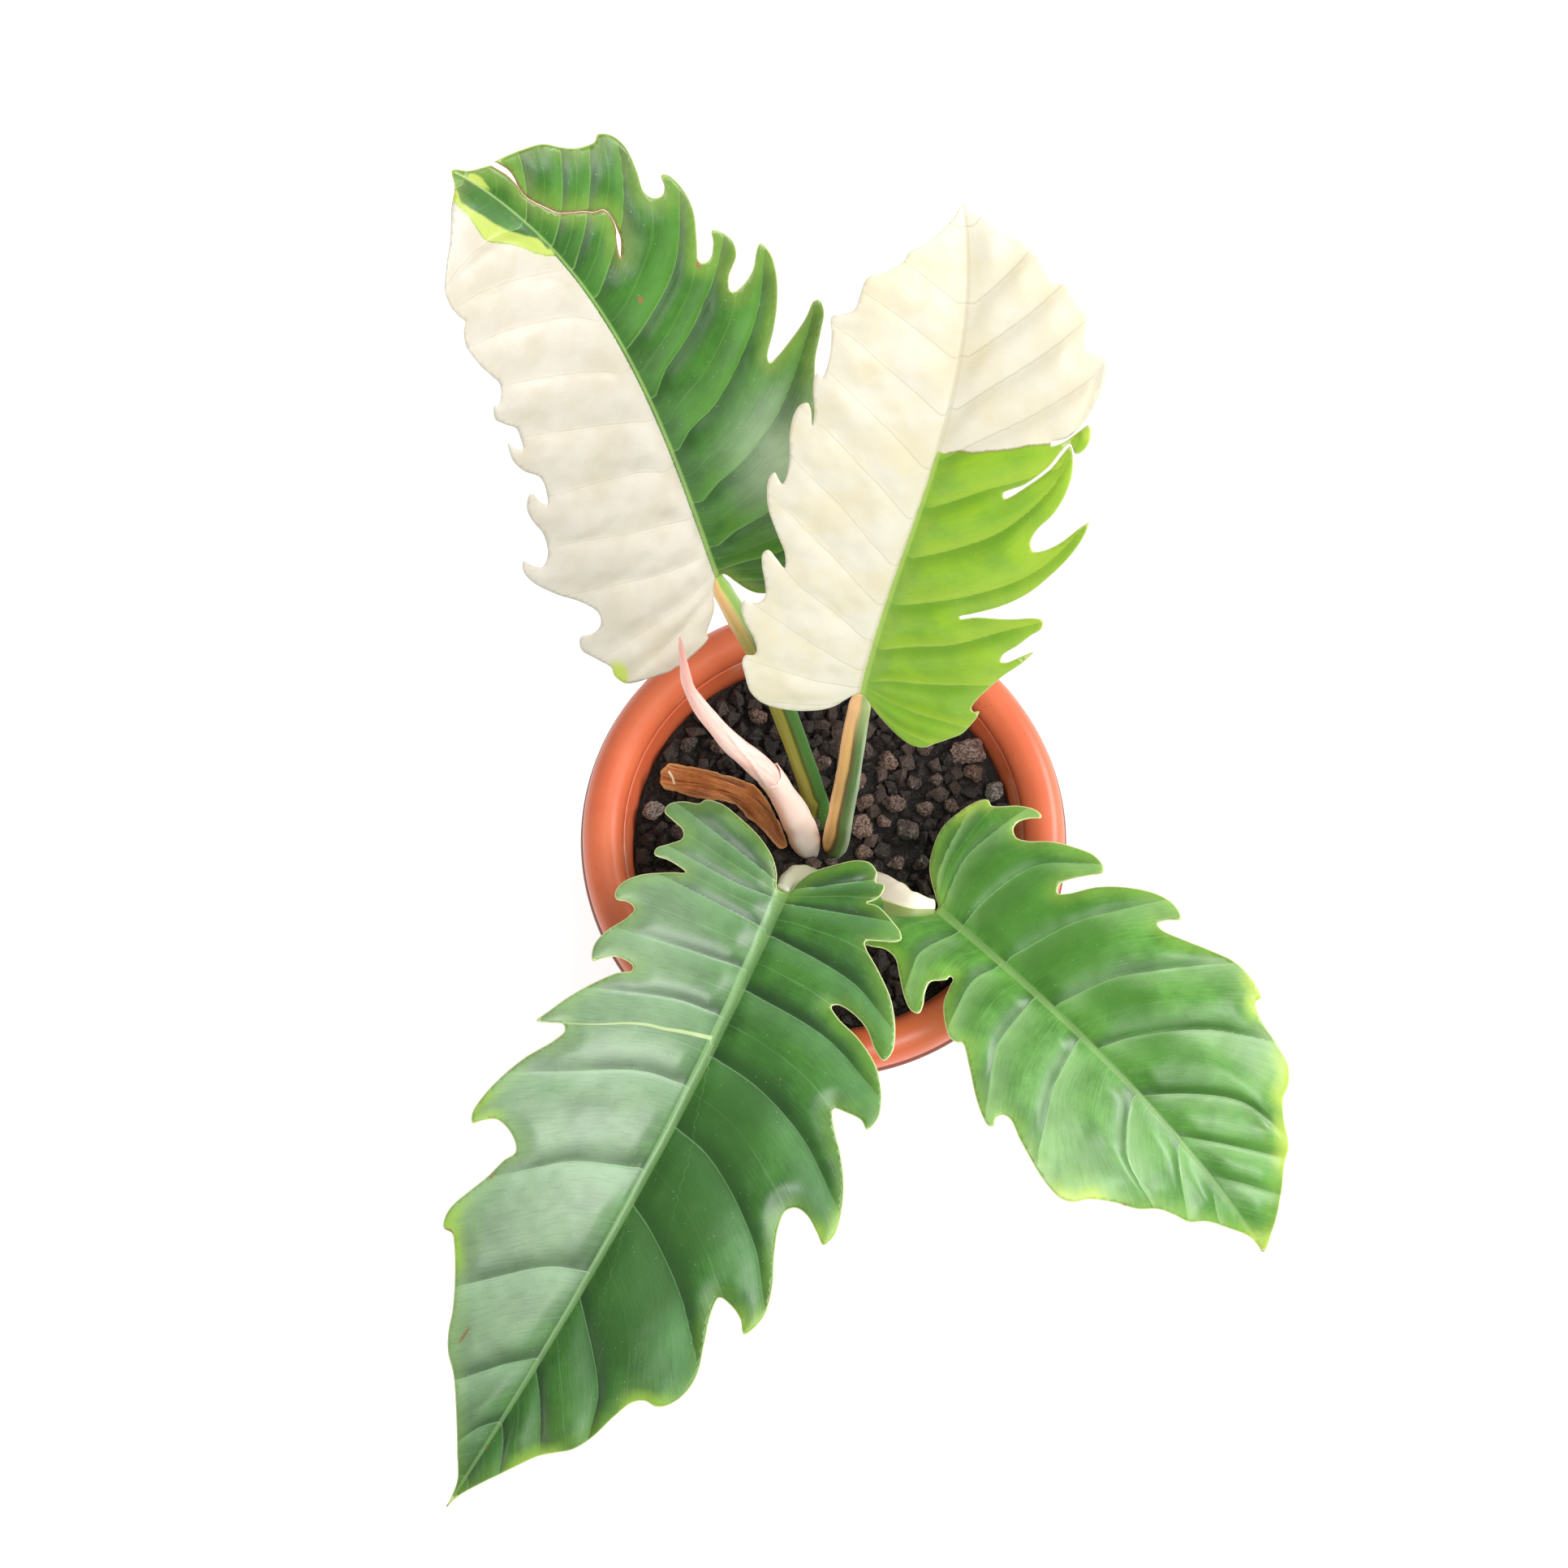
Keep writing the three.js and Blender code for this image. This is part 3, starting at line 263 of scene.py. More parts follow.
FRONT_LEFT_LEFT_MARGIN = [
    (1, -2), (-4, -4.4), (-9, -8), (-14, -14.8), (-18, -21.5), (-18.6, -26.5), (-15.5, -30.5),
    (-12.2, -31.2), (-12, -34.5), (-8.5, -35.2), (-5, -33.6), (-3, -31.2), (-3, -35), (0, -41),
    (3.5, -46.5), (6, -47.8), (7.6, -45.8), (9, -41), (10.8, -36), (13, -37.3), (19, -44.5), (27, -53),
    (36, -58.7), (43, -60.8), (46.6, -59.3), (44.5, -55), (39, -49), (36, -43), (34.7, -36), (36, -34),
    (39, -38), (43, -48), (50, -58.5), (58, -64.3), (64, -66), (69, -64.2), (67, -61), (66.7, -55),
    (67.3, -50.4), (72, -53), (80, -60.3), (88, -65.8), (97, -69.6), (103, -70.5), (107, -68.7),
    (104.5, -64.5), (101.2, -58.5), (100.8, -54), (103, -51.4), (108, -51.6), (117, -55.2), (126, -60),
    (134, -62.2), (139, -61.5), (143, -59.2), (139.5, -55.5), (137.3, -50), (137.2, -45.2), (143, -45.6),
    (152, -48.8), (162, -52), (170, -51.3), (175.5, -48), (177.4, -45), (177.8, -41), (180.5, -37.5),
    (188, -34.5), (197, -32), (205, -28.3), (210, -23.5), (215, -18.7), (225, -12.8), (236, -6.8),
    (246, -2), (253.5, 0),
]
FRONT_LEFT_RIGHT_MARGIN = [
    (1, 2), (-4, 4.3), (-9, 8), (-14, 15), (-17.5, 25), (-19.2, 33), (-18, 38.7), (-15.6, 40.5), (-14, 46),
    (-11, 50.3), (-7.5, 50.7), (-5.5, 46.5), (-3.5, 41.8), (-0.5, 40.8), (3, 44), (7, 48), (9.7, 47.6),
    (9.4, 42), (10.9, 34.7), (13, 39), (19, 49), (25, 54), (29.5, 54.8), (31.5, 53.3), (30.6, 49), (32, 46),
    (36, 47), (43, 51.3), (49, 53.3), (53, 53), (56, 51.3), (53.5, 48.3), (50.9, 44), (51.3, 37.8),
    (53, 37.2), (56, 41.5), (64, 48.3), (72, 53.5), (79, 57), (84.5, 59.4), (83, 55), (81.3, 50.5),
    (83, 48.9), (88, 50.8), (98, 57), (108, 61.2), (117, 63.5), (124, 64), (127.2, 62.2), (124.5, 59.3),
    (122, 55.5), (122.8, 50.5), (126, 45.5), (129, 43.9), (133, 46), (141, 48.3), (149, 51.5), (156, 54),
    (161, 54.2), (164.6, 52.6), (164.6, 49.3), (168, 46.3), (178, 40.2), (188, 35.3), (196, 32.4),
    (202, 29), (208, 23.3), (220, 15), (232, 7.8), (242, 2), (249, 0.5), (253.5, 0),
]

# %% [markdown]
# The veins leave the midrib in pairs and sweep towards the margin. Each is written as a few points: how far
# along the midrib it is at some distance out. They are used twice. The sheet is pressed down along them and
# bulges between them, and the materials draw a pale line on them and run their streaks beside them.

# %% Lateral veins of each half, from the base to the tip: along the midrib, then how far out
BACK_LEFT_LEFT_VEINS = [
    [(-3, 2), (-9, 18), (-11, 34)], [(3, 3), (1, 16), (4, 44)], [(14, 3), (19, 16), (30, 38)],
    [(33, 3), (39, 14), (49, 32)], [(57, 5), (64, 14), (72, 30)], [(78, 3), (86, 14), (96, 28)],
    [(99, 4), (107, 12), (118, 25)], [(120, 3), (128, 9), (141, 24)], [(142, 3), (152, 14), (161, 24)],
    [(162, 3), (171, 14), (178, 26)],
]
BACK_LEFT_RIGHT_VEINS = [
    [(-4, 4), (-11, 14), (-14, 24)], [(3, 3), (2.5, 10), (1, 15), (-2, 34)],
    [(15.5, 4), (19, 10), (21, 18), (24, 34)], [(38, 4), (43, 10), (48, 20), (60, 36), (78, 52), (85, 58)],
    [(62, 2), (68, 8), (73, 18), (88, 36), (97, 45), (105, 51)],
    [(85, 2), (92, 8), (98, 18), (110, 35), (116, 42)], [(105.5, 1), (110, 10), (119, 26), (132, 39)],
    [(127, 2), (131, 8), (140, 22), (152, 35)], [(139, 1), (145, 10), (152, 20)],
    [(149.5, 1), (154, 9), (163, 21)], [(161, 0.5), (166, 7), (174, 15)],
]
BACK_RIGHT_LEFT_VEINS = [
    [(-4, 3), (-9, 14), (-11, 26)], [(3, 3), (3, 18), (6, 36)], [(12, 3), (19, 18), (27, 38)],
    [(27, 3), (36, 18), (47, 36)], [(44, 3), (55, 18), (68, 38)], [(62, 3), (74, 18), (88, 38)],
    [(82, 3), (94, 18), (108, 38)], [(102, 3), (114, 18), (128, 36)], [(122, 3), (133, 18), (146, 34)],
    [(142, 3), (152, 16), (162, 28)], [(160, 3), (168, 12), (176, 20)],
]
BACK_RIGHT_RIGHT_VEINS = [
    [(-4, 4), (-8, 14), (-8, 24)], [(3.5, 2), (4, 15), (8, 33)], [(8, 3), (13, 8), (24, 24), (36, 40)],
    [(25, 3), (32, 10), (45, 25), (60, 38), (70, 48)], [(47, 3), (53, 10), (68, 26), (88, 43), (106, 51.5)],
    [(68, 3), (80, 15), (95, 28), (115, 38), (123, 39.5)], [(89, 3), (94, 8), (104, 18), (112, 28)],
    [(107, 2), (119, 12), (134, 28)], [(125, 2), (137, 12), (152, 28)], [(143, 2), (153, 12), (164, 24)],
    [(160, 2), (168, 10), (176, 18)],
]
FRONT_RIGHT_LEFT_VEINS = [
    [(0, 2), (-7, 12), (-13, 32)], [(3, 3), (0, 12), (-2, 22), (2, 44)],
    [(14.5, 3), (15, 15), (21, 35), (35, 48)], [(36, 4), (45, 28), (58, 50)],
    [(60, 3), (68, 23), (76, 35), (89, 53)], [(81, 2), (86, 12), (102, 34), (111, 42)],
    [(102.5, 0), (112, 12), (123, 23), (130, 27), (140, 29)], [(122, 1), (131, 9), (144, 20)],
    [(140, 1), (148, 8), (156, 14)],
]
FRONT_RIGHT_RIGHT_VEINS = [
    [(-2, 3), (-9, 12), (-12, 24)], [(15, 3), (12, 18), (15, 25)], [(35, 3), (33, 12), (38, 28)],
    [(52.5, 3), (56, 25), (61, 33)], [(74, 3), (80, 22), (90, 39)],
    [(101.5, 3), (105, 9), (116, 20), (132, 23.5)], [(124, 2), (131, 8), (144, 16)],
    [(142, 1), (149, 6), (157, 9)],
]
FRONT_LEFT_LEFT_VEINS = [
    [(0, 3), (-5, 15), (-10, 25)], [(5.5, 4), (2, 35)], [(19, 4), (26, 38), (33, 52)],
    [(41, 3), (47, 38), (55, 57)], [(67.5, 3), (71, 22), (80, 45), (92, 63)],
    [(95, 2), (99, 18), (117, 47), (128, 57)], [(125, 1), (130, 12), (143, 33), (150, 41)],
    [(162, 1), (168, 8), (185, 25), (195, 29)], [(192, 1), (199, 8), (213, 18)],
    [(215, 1), (221, 6), (232, 11)],
]
FRONT_LEFT_RIGHT_VEINS = [
    [(-1, 4), (-4, 15), (-7, 27)], [(5, 3), (6.5, 17), (5.5, 32)], [(17, 3), (16, 33)], [(34, 3), (39, 35)],
    [(53, 3), (54.5, 17), (62, 40)], [(80.5, 3), (83, 18), (97, 45)], [(113, 3), (122, 25), (130, 35)],
    [(153, 1.5), (158, 14), (175, 33)], [(188, 1), (195, 9), (208, 20)], [(215, 1), (221, 6), (232, 10)],
]

# %% [markdown]
# A leaf's heading is given in degrees from the back towards the right, with how fast it turns and how fast
# that changes; its slope and the fold of its halves are in degrees too. From these one function walks along
# the midrib, and another puts any flat point of the sheet in space.

# %% Curved surface of a leaf
LEAVES = {
    "back_left": {
        "base": (-36.7, 52.1, 270), "length": 189.1, "heading": (-33.3, 31, -75.9), "slope": (70, -30),
        "fold": 13, "margin": (BACK_LEFT_LEFT_MARGIN, BACK_LEFT_RIGHT_MARGIN),
        "veins": (BACK_LEFT_LEFT_VEINS, BACK_LEFT_RIGHT_VEINS),
    },
    "back_right": {
        "base": (10.7, 13, 265), "length": 189.8, "heading": (17.9, 53.3, -83.9), "slope": (68, -26),
        "fold": 13, "margin": (BACK_RIGHT_LEFT_MARGIN, BACK_RIGHT_RIGHT_MARGIN),
        "veins": (BACK_RIGHT_LEFT_VEINS, BACK_RIGHT_RIGHT_VEINS),
    },
    "front_right": {
        "base": (38.7, -33.7, 158), "length": 171.8, "heading": (135.3, -4.8, 13.1), "slope": (22, -46),
        "fold": 14, "margin": (FRONT_RIGHT_LEFT_MARGIN, FRONT_RIGHT_RIGHT_MARGIN),
        "veins": (FRONT_RIGHT_LEFT_VEINS, FRONT_RIGHT_RIGHT_VEINS),
    },
    "front_left": {
        "base": (-14.9, -29.5, 166), "length": 252.6, "heading": (-158.8, 16.7, -1.3), "slope": (12, -42),
        "fold": 15, "margin": (FRONT_LEFT_LEFT_MARGIN, FRONT_LEFT_RIGHT_MARGIN),
        "veins": (FRONT_LEFT_LEFT_VEINS, FRONT_LEFT_RIGHT_VEINS),
    },
}
MIDRIB_ROUND = 1.2  # the fold is rounded over this many millimetres each side of the midrib
DROOP = 0.0014  # a half has sunk by this times its width squared, in millimetres


def midrib_frames(leaf):
    """Points of the midrib every millimetre, with the directions along it, to its right and up from it."""
    steps = math.ceil(leaf["length"])
    t = np.linspace(0, 1, steps + 1)
    head = np.radians(leaf["heading"][0] + leaf["heading"][1] * t + leaf["heading"][2] * t * t)
    rise = np.radians(leaf["slope"][0] + leaf["slope"][1] * t)
    along = np.stack([np.sin(head) * np.cos(rise), np.cos(head) * np.cos(rise), np.sin(rise)], 1)
    hops = (along[1:] + along[:-1]) / 2 * leaf["length"] / steps
    middle = np.vstack([[0, 0, 0], np.cumsum(hops, 0)]) + leaf["base"]
    side = np.cross(along, [0, 0, 1.0])
    side /= np.linalg.norm(side, axis=1)[:, None]
    up = np.cross(side, along)
    return {"a": t * leaf["length"], "middle": middle, "along": along, "side": side, "up": up}


def bend(leaf, frames, a, b, lift):
    """Flat leaf coordinates in space, in millimetres, raised by lift along the surface's upper normal."""
    on = np.clip(a, 0, leaf["length"])
    at = {}
    for key in ("middle", "along", "side", "up"):
        at[key] = np.stack([np.interp(on, frames["a"], frames[key][:, i]) for i in range(3)], 1)
    fold = math.radians(leaf["fold"])
    out = np.sqrt(b * b + MIDRIB_ROUND**2) - MIDRIB_ROUND
    rise = out * math.sin(fold) - DROOP * b * b
    lean = np.sign(b) * np.abs(b) / np.sqrt(b * b + MIDRIB_ROUND**2) * math.sin(fold) - 2 * DROOP * b
    normal = at["up"] * math.cos(fold) - at["side"] * lean[:, None]
    normal /= np.linalg.norm(normal, axis=1)[:, None]
    flat = at["middle"] + at["along"] * (a - on)[:, None] + at["side"] * (b * math.cos(fold))[:, None]
    return flat + at["up"] * rise[:, None] + normal * lift[:, None]


# %% [markdown]
# To fill a margin with small even triangles we lay a grid of points inside it and join them by Delaunay's
# rule, which Blender's geometry module can do while it keeps the margin's own edges. A distance to the
# margin is kept for every point: it thins the sheet towards its edge and later draws the pale hairline that
# rims each leaf.

# %% Filling a flat outline
GRID = 1.35  # millimetres between the points inside a leaf
ROW = 0.87  # distance of two rows of the grid, as a share of the spacing in a row


def smooth_line(points, closed, per):
    """A centripetal Catmull-Rom curve: per is points for each stretch if whole, else millimetres a step."""
    p = np.array(points, float)
    n = len(p)
    made = []
    for i in range(n if closed else n - 1):
        p1, p2 = p[i], p[(i + 1) % n]
        p0 = p[i - 1] if closed or i else 2 * p1 - p2
        p3 = p[(i + 2) % n] if closed or i + 2 < n else 2 * p2 - p1
        d0, d1, d2 = (max(np.linalg.norm(v) ** 0.5, 1e-6) for v in (p1 - p0, p2 - p1, p3 - p2))
        m1 = d1 * ((p1 - p0) / d0 - (p2 - p0) / (d0 + d1) + (p2 - p1) / d1)
        m2 = d1 * ((p2 - p1) / d1 - (p3 - p1) / (d1 + d2) + (p3 - p2) / d2)
        count = per if isinstance(per, int) else max(1, round(np.linalg.norm(p2 - p1) / per))
        for t in np.arange(count)[:, None] / count:
            t2, t3 = t * t, t * t * t
            leaving = (2 * t3 - 3 * t2 + 1) * p1 + (t3 - 2 * t2 + t) * m1
            made.append(leaving + (3 * t2 - 2 * t3) * p2 + (t3 - t2) * m2)
    return np.array(made if closed else made + [p[-1]])


def outline_distance(points, outline):
    """Distance of flat points to a closed outline, positive inside it."""
    best = np.full(len(points), np.inf)
    odd = np.zeros(len(points), bool)
    x, y = points[:, 0], points[:, 1]
    for a, b in zip(outline, np.roll(outline, -1, 0)):
        edge = b - a
        k = np.clip(((points - a) @ edge) / max(edge @ edge, 1e-12), 0, 1)
        best = np.minimum(best, np.hypot(x - a[0] - k * edge[0], y - a[1] - k * edge[1]))
        if a[1] != b[1]:
            crosses = (a[1] > y) != (b[1] > y)
            odd ^= crosses & (x < edge[0] * (y - a[1]) / edge[1] + a[0])
    return np.where(odd, best, -best)


def fill(outline, spacing, clear):
    """Triangles over a closed outline, turning left, with a grid of points inside."""
    low, high = outline.min(0), outline.max(0)
    rows = []
    for k, y in enumerate(np.arange(-math.ceil(-low[1] / (spacing * ROW)), high[1] / (spacing * ROW) + 1)):
        xs = np.arange(low[0] + (k % 2) * spacing / 2, high[0], spacing)
        rows.append(np.stack([xs, np.full(len(xs), y * spacing * ROW)], 1))
    grid = np.vstack(rows)
    grid = grid[outline_distance(grid, outline) > clear]
    points = np.vstack([outline, grid])
    n = len(outline)
    edges = [(i, (i + 1) % n) for i in range(n)]
    made = geometry.delaunay_2d_cdt([Vector(p) for p in points], edges, [], 1, 1e-7)
    placed = np.array([tuple(v) for v in made[0]])
    faces = np.array(made[2])
    one, two, three = (placed[faces[:, i]] for i in range(3))
    to_two, to_three = two - one, three - one
    area = to_two[:, 0] * to_three[:, 1] - to_two[:, 1] * to_three[:, 0]
    faces[area < 0] = faces[area < 0][:, ::-1]
    return placed, faces


def border_loops(faces):
    """The directed edges that only one triangle has."""
    edges = np.vstack([faces[:, [0, 1]], faces[:, [1, 2]], faces[:, [2, 0]]])
    have = {(int(a), int(b)) for a, b in edges}
    return [(a, b) for a, b in have if (b, a) not in have]


def sheet(top, bottom, faces):
    """Points and faces of a sheet with two skins over the same flat triangles, joined by a rim."""
    count = len(top)
    rim = [(i, count + i, count + j, j) for i, j in border_loops(faces)]
    return np.vstack([top, bottom]), faces.tolist() + (faces[:, ::-1] + count).tolist() + rim


# %% [markdown]
# The sheet is never flat between two veins. It bulges upwards like a quilt, most on the two green front
# leaves, while the cream halves are thinner and pucker. A point's place between its neighbouring veins is
# kept as one number that passes a whole number at each vein, so both the bulges here and the vein lines in
# the material come from it.

# %% Veins and bulges
CLOSEST_VEINS = 2.5  # two veins never come closer than this, in millimetres along the midrib
BEYOND_VEINS = 24  # a vein that isn't drawn lies this far beyond the first and the last


def vein_place(veins, a, out):
    """Where points lie between the veins of one half: a count that rises to the tip, and the local gap
    in mm."""
    rows = []
    for vein in veins:
        at, far = smooth_line(vein, False, 8).T
        tail = (at[-1] - at[-5]) / (far[-1] - far[-5])
        rows.append(np.where(out > far[-1], at[-1] + tail * (out - far[-1]), np.interp(out, far, at)))
    rows = np.array(rows)
    for i in range(1, len(rows)):
        rows[i] = np.maximum(rows[i], rows[i - 1] + CLOSEST_VEINS)
    rows = np.vstack([rows[0] - BEYOND_VEINS, rows, rows[-1] + BEYOND_VEINS])
    k = np.clip((rows <= a).sum(0) - 1, 0, len(rows) - 2)
    pick = np.arange(len(a))
    gap = rows[k + 1, pick] - rows[k, pick]
    return k + (a - rows[k, pick]) / gap, gap


def ripple(points, size, seed):
    """Smooth noise from -1 to 1 at flat points, with lumps of a given size in millimetres."""
    return np.array([noise.noise(Vector((x / size, y / size, seed))) for x, y in points])


def relief(leaf, a, b, edge, place, gap):
    """How far the sheet stands above its plain curved surface, in millimetres."""
    out = np.abs(b)
    part = place - np.floor(place)
    dome = 1 - np.abs(2 * part**1.5 - 1) ** 2.2
    swell = np.where(b < 0, leaf["quilt"][0], leaf["quilt"][1])
    width = np.clip(gap / 16, 0.3, 1.15)
    made = swell * dome * width * smooth01(out / 9) * (0.25 + 0.75 * smooth01(edge / 9))
    flat = np.stack([a, b], 1)
    pucker = np.where(b < 0, leaf["pucker"][0], leaf["pucker"][1]) * smooth01((out - 2) / 9)
    crumple = ripple(flat * (1, 0.55), 11, 3.7) + 0.4 * ripple(flat, 5.5, 8.1)
    made += pucker * crumple * (0.4 + 0.6 * smooth01(edge / 8))
    made += ripple(flat, 26, 15.2) * (1 - smooth01(edge / 14))
    rib = 2.3 * (1 - 0.8 * np.clip(a / leaf["length"], 0, 1))
    return made - 0.45 * np.exp(-((out / rib) ** 4))


# %% [markdown]
# Colour zones are drawn in the same flat coordinates. A zone is a list of shapes, each an area with
# corners, a round spot, or a line with a width. What is stored on the leaf is the distance into the zone in
# millimetres, because a distance stays smooth between the mesh's points, and the material can turn it into
# an edge as sharp as it likes.

# %% Colour zones
OUTSIDE = -20.0  # stored where a zone is far away or isn't there
NO_LINE = 9.0  # stored past the ends of a line


def side_of_line(points, line):
    """Signed distance to a flat line in millimetres: its sign changes across the line, and its ends
    fade out."""
    line = smooth_line(line, False, 1.0)
    far = np.hypot(points[:, None, 0] - line[None, :, 0], points[:, None, 1] - line[None, :, 1])
    near = far.argmin(1)
    heading = np.gradient(line, axis=0)[near]
    heading /= np.linalg.norm(heading, axis=1)[:, None]
    off = points - line[near]
    signed = heading[:, 0] * off[:, 1] - heading[:, 1] * off[:, 0]
    past = np.abs((heading * off).sum(1))
    return np.where(past > 1.0, NO_LINE, signed)


def zone(points, shapes):
    """Distance into the nearest of some flat shapes, in millimetres, negative outside."""
    best = np.full(len(points), OUTSIDE)
    for kind, *data in shapes:
        if kind == "area":
            best = np.maximum(best, outline_distance(points, np.array(data[0], float)))
        elif kind == "spot":
            a, b, wide, high = data
            r = np.hypot((points[:, 0] - a) / wide, (points[:, 1] - b) / high)
            best = np.maximum(best, (1 - r) * min(wide, high))
        else:
            for (a0, b0, w0), (a1, b1, w1) in zip(data[0], data[0][1:]):
                start, run = np.array([a0, b0]), np.array([a1 - a0, b1 - b0])
                k = np.clip(((points - start) @ run) / (run @ run), 0, 1)
                far = np.hypot(*(points - start - k[:, None] * run).T)
                best = np.maximum(best, w0 + (w1 - w0) * k - far)
    return best


TEAR = [
    (179.4, 8.0, 0.75), (177, 8.2, 0.8), (174, 8.3, 0.7), (171, 7.6, 0.35), (170, 7.2, 0.12),
    (166, 6, 0.07), (163, 6.2, 0.07), (159, 7.3, 0.07), (155, 8.7, 0.07), (153.5, 10, 0.07),
    (150, 14, 0.07), (147, 17, 0.07), (145.5, 19.5, 0.08), (142, 19.8, 0.07), (138.5, 18.7, 0.2),
    (136.5, 17.6, 0.6), (134.5, 16.2, 0.55), (132.5, 14.8, 0.25), (131.5, 14.2, 0.05),
]
TIP_BAND = [
    (147, -0.5), (147, -1.5), (150, -4), (155, -7), (160, -9), (165, -11.5), (170, -14), (174, -14.5),
    (180, -13.5), (185, -11.5), (187.5, -10.5), (190, -8), (193, -0.3), (170, -0.3),
]
TIP_DARK = [
    (150, 0.3), (150, -1.5), (155, -1.5), (160, -4.5), (165, -6.5), (170, -7.8), (177, -9), (182, -10),
    (186, -9.3), (188.4, -4), (193, 0.3),
]
CREAM_TOP = [
    (109, -1), (109, 1), (110, 3), (113, 7), (115, 11), (118, 16), (121, 22), (124, 27), (125.8, 33.5),
    (127.7, 36.9), (132, 40.5), (137, 47), (200, 60), (200, -1),
]
CREAM_STREAK = [
    (61.5, 1.5), (62.5, 5), (64.5, 12), (66.5, 18), (68, 24), (71, 31), (75, 38), (78, 44), (80.5, 50),
]
# The pale spots in a leaf's looks mark where a painted sheen lies. The dark spots on the front leaves mark
# painted shade, where a half faces away from the lamps. The dark area at a back leaf's tip is its own
# colour.
LOOKS = {
    "back_left": {
        "quilt": (1.5, 2.2), "pucker": (0.8, 0.25), "bloom": [("spot", 44, 32, 42, 28)],
        "cream": [("area", [(-60, -1), (200, -1), (200, -80), (-60, -80)])],
        "lime": [
            ("area", TIP_BAND), ("spot", -7, -46.5, 8, 3.6),
            ("area", [(186, 0.3), (185, 0.9), (184, 2), (181, 2.5), (178, 1.5), (175, 0.3)]),
        ],
        "no_cream": [("area", TIP_BAND)], "no_lime": [("area", TIP_DARK)], "dark": [("area", TIP_DARK)],
        "scar": [("line", TEAR), ("spot", 118, 12, 0.8, 0.5), ("spot", 116, 33, 0.6, 0.4)],
    },
    "back_right": {
        "quilt": (0.6, 2.4), "pucker": (1.3, 0.3), "lime": [("spot", 133, 44, 2, 2)],
        "cream": [("area", [(-60, -0.4), (200, -0.4), (200, -80), (-60, -80)]), ("area", CREAM_TOP)],
        "dark": [("spot", -4, 12, 12, 9)],
    },
    "front_right": {
        "quilt": (2.0, 2.0), "pucker": (0.35, 0.35), "bloom": [("spot", 95, 30, 80, 46)],
        "lime": [
            ("spot", 112, 42, 6, 6), ("spot", 103, -54, 4, 4), ("spot", 130, -41, 6, 5),
            ("spot", 146, -27, 6, 3.4), ("spot", 172, 0, 4, 3), ("spot", -14, -38, 3, 4),
        ],
        "dark": [("spot", 34, -20, 40, 22), ("spot", 80, -18, 44, 12)],
        "scar": [("spot", 173, 0, 0.7, 0.6), ("spot", 125.5, 31.5, 0.4, 0.4)],
    },
    "front_left": {
        "quilt": (2.4, 1.6), "pucker": (0.35, 0.3), "bloom": [("spot", 136, 48, 190, 64)],
        "lime": [
            ("spot", 213, -18, 10, 4.5), ("spot", 178, -41, 4, 5), ("spot", 124, 61, 5, 3.4),
            ("spot", 166, 47, 8, 5), ("spot", 141, -59, 4, 3), ("spot", 105, -68, 4, 3),
        ],
        "dark": [("spot", 118, -18, 80, 20)],
        "scar": [
            ("line", [(190, 26.6, 0.02), (197, 27.4, 0.1)]), ("spot", 225, -0.5, 0.4, 0.4),
            ("line", [(138, 46.5, 0.1), (141.5, 46.8, 0.02)]), ("spot", 253, 0, 0.9, 0.6),
            ("spot", 164.6, 50.4, 0.4, 0.8),
        ],
    },
}

# %% [markdown]
# Each leaf is now made: the margin is smoothed, filled, bent and pushed into relief, once for the upper
# skin and once for the lower one, 0.6 mm apart and closer at the rim. The lower skin also gets the midrib,
# which on this plant stands out below the sheet as a round keel that thins towards the tip. One back leaf
# has an old tear near its tip. The tear is part of its margin, so it is a real opening with the floor
# showing through.

# %% Making a leaf
MARGIN_STEP = 0.85  # millimetres between the points of a margin
TEAR_BEFORE, TEAR_AFTER = (178.4, 9.4), (179.8, 7.2)  # corners of the margin at the tear's mouth


def leaf_outline(leaf, torn):
    """The closed margin in flat coordinates (along, minus out), turning left."""
    left, right = leaf["margin"]
    if not torn:
        points = [(a, -b) for a, b in right] + [(a, -b) for a, b in left[-2::-1]]
        return smooth_line(points, True, MARGIN_STEP)
    mouth = len(right) - 4
    near = [(a, -b) for a, b in left[1::-1] + right[: mouth + 1] + [TEAR_BEFORE]]
    rest = [(a, -b) for a, b in [TEAR_AFTER] + right[mouth + 2 :] + left[-2:0:-1]]
    line = [(a, -b, w) for a, b, w in TEAR]
    near, rest, line = (smooth_line(points, False, MARGIN_STEP) for points in (near, rest, line))
    run = np.gradient(line[:, :2], axis=0)
    run /= np.linalg.norm(run, axis=1)[:, None]
    across = np.stack([-run[:, 1], run[:, 0]], 1) * line[:, 2:]
    cut_in, cut_out = line[:, :2] + across, line[:, :2] - across
    return np.vstack([near[:-1], cut_in[1:], cut_out[1:-1][::-1], rest[:-1]])


def leaf_zones(leaf, a, b, with_streak):
    """The zones of a leaf as distances at its flat points."""
    ab = np.stack([a, b], 1)
    kinds = ("cream", "no_cream", "lime", "no_lime", "bloom", "dark", "scar")
    made = {kind: zone(ab, leaf.get(kind, [])) for kind in kinds}
    made["cream"] = np.minimum(made["cream"], -made.pop("no_cream"))
    made["lime"] = np.minimum(made["lime"], -made.pop("no_lime"))
    made["streak"] = side_of_line(ab, CREAM_STREAK) if with_streak else np.full(len(a), NO_LINE)
    return made


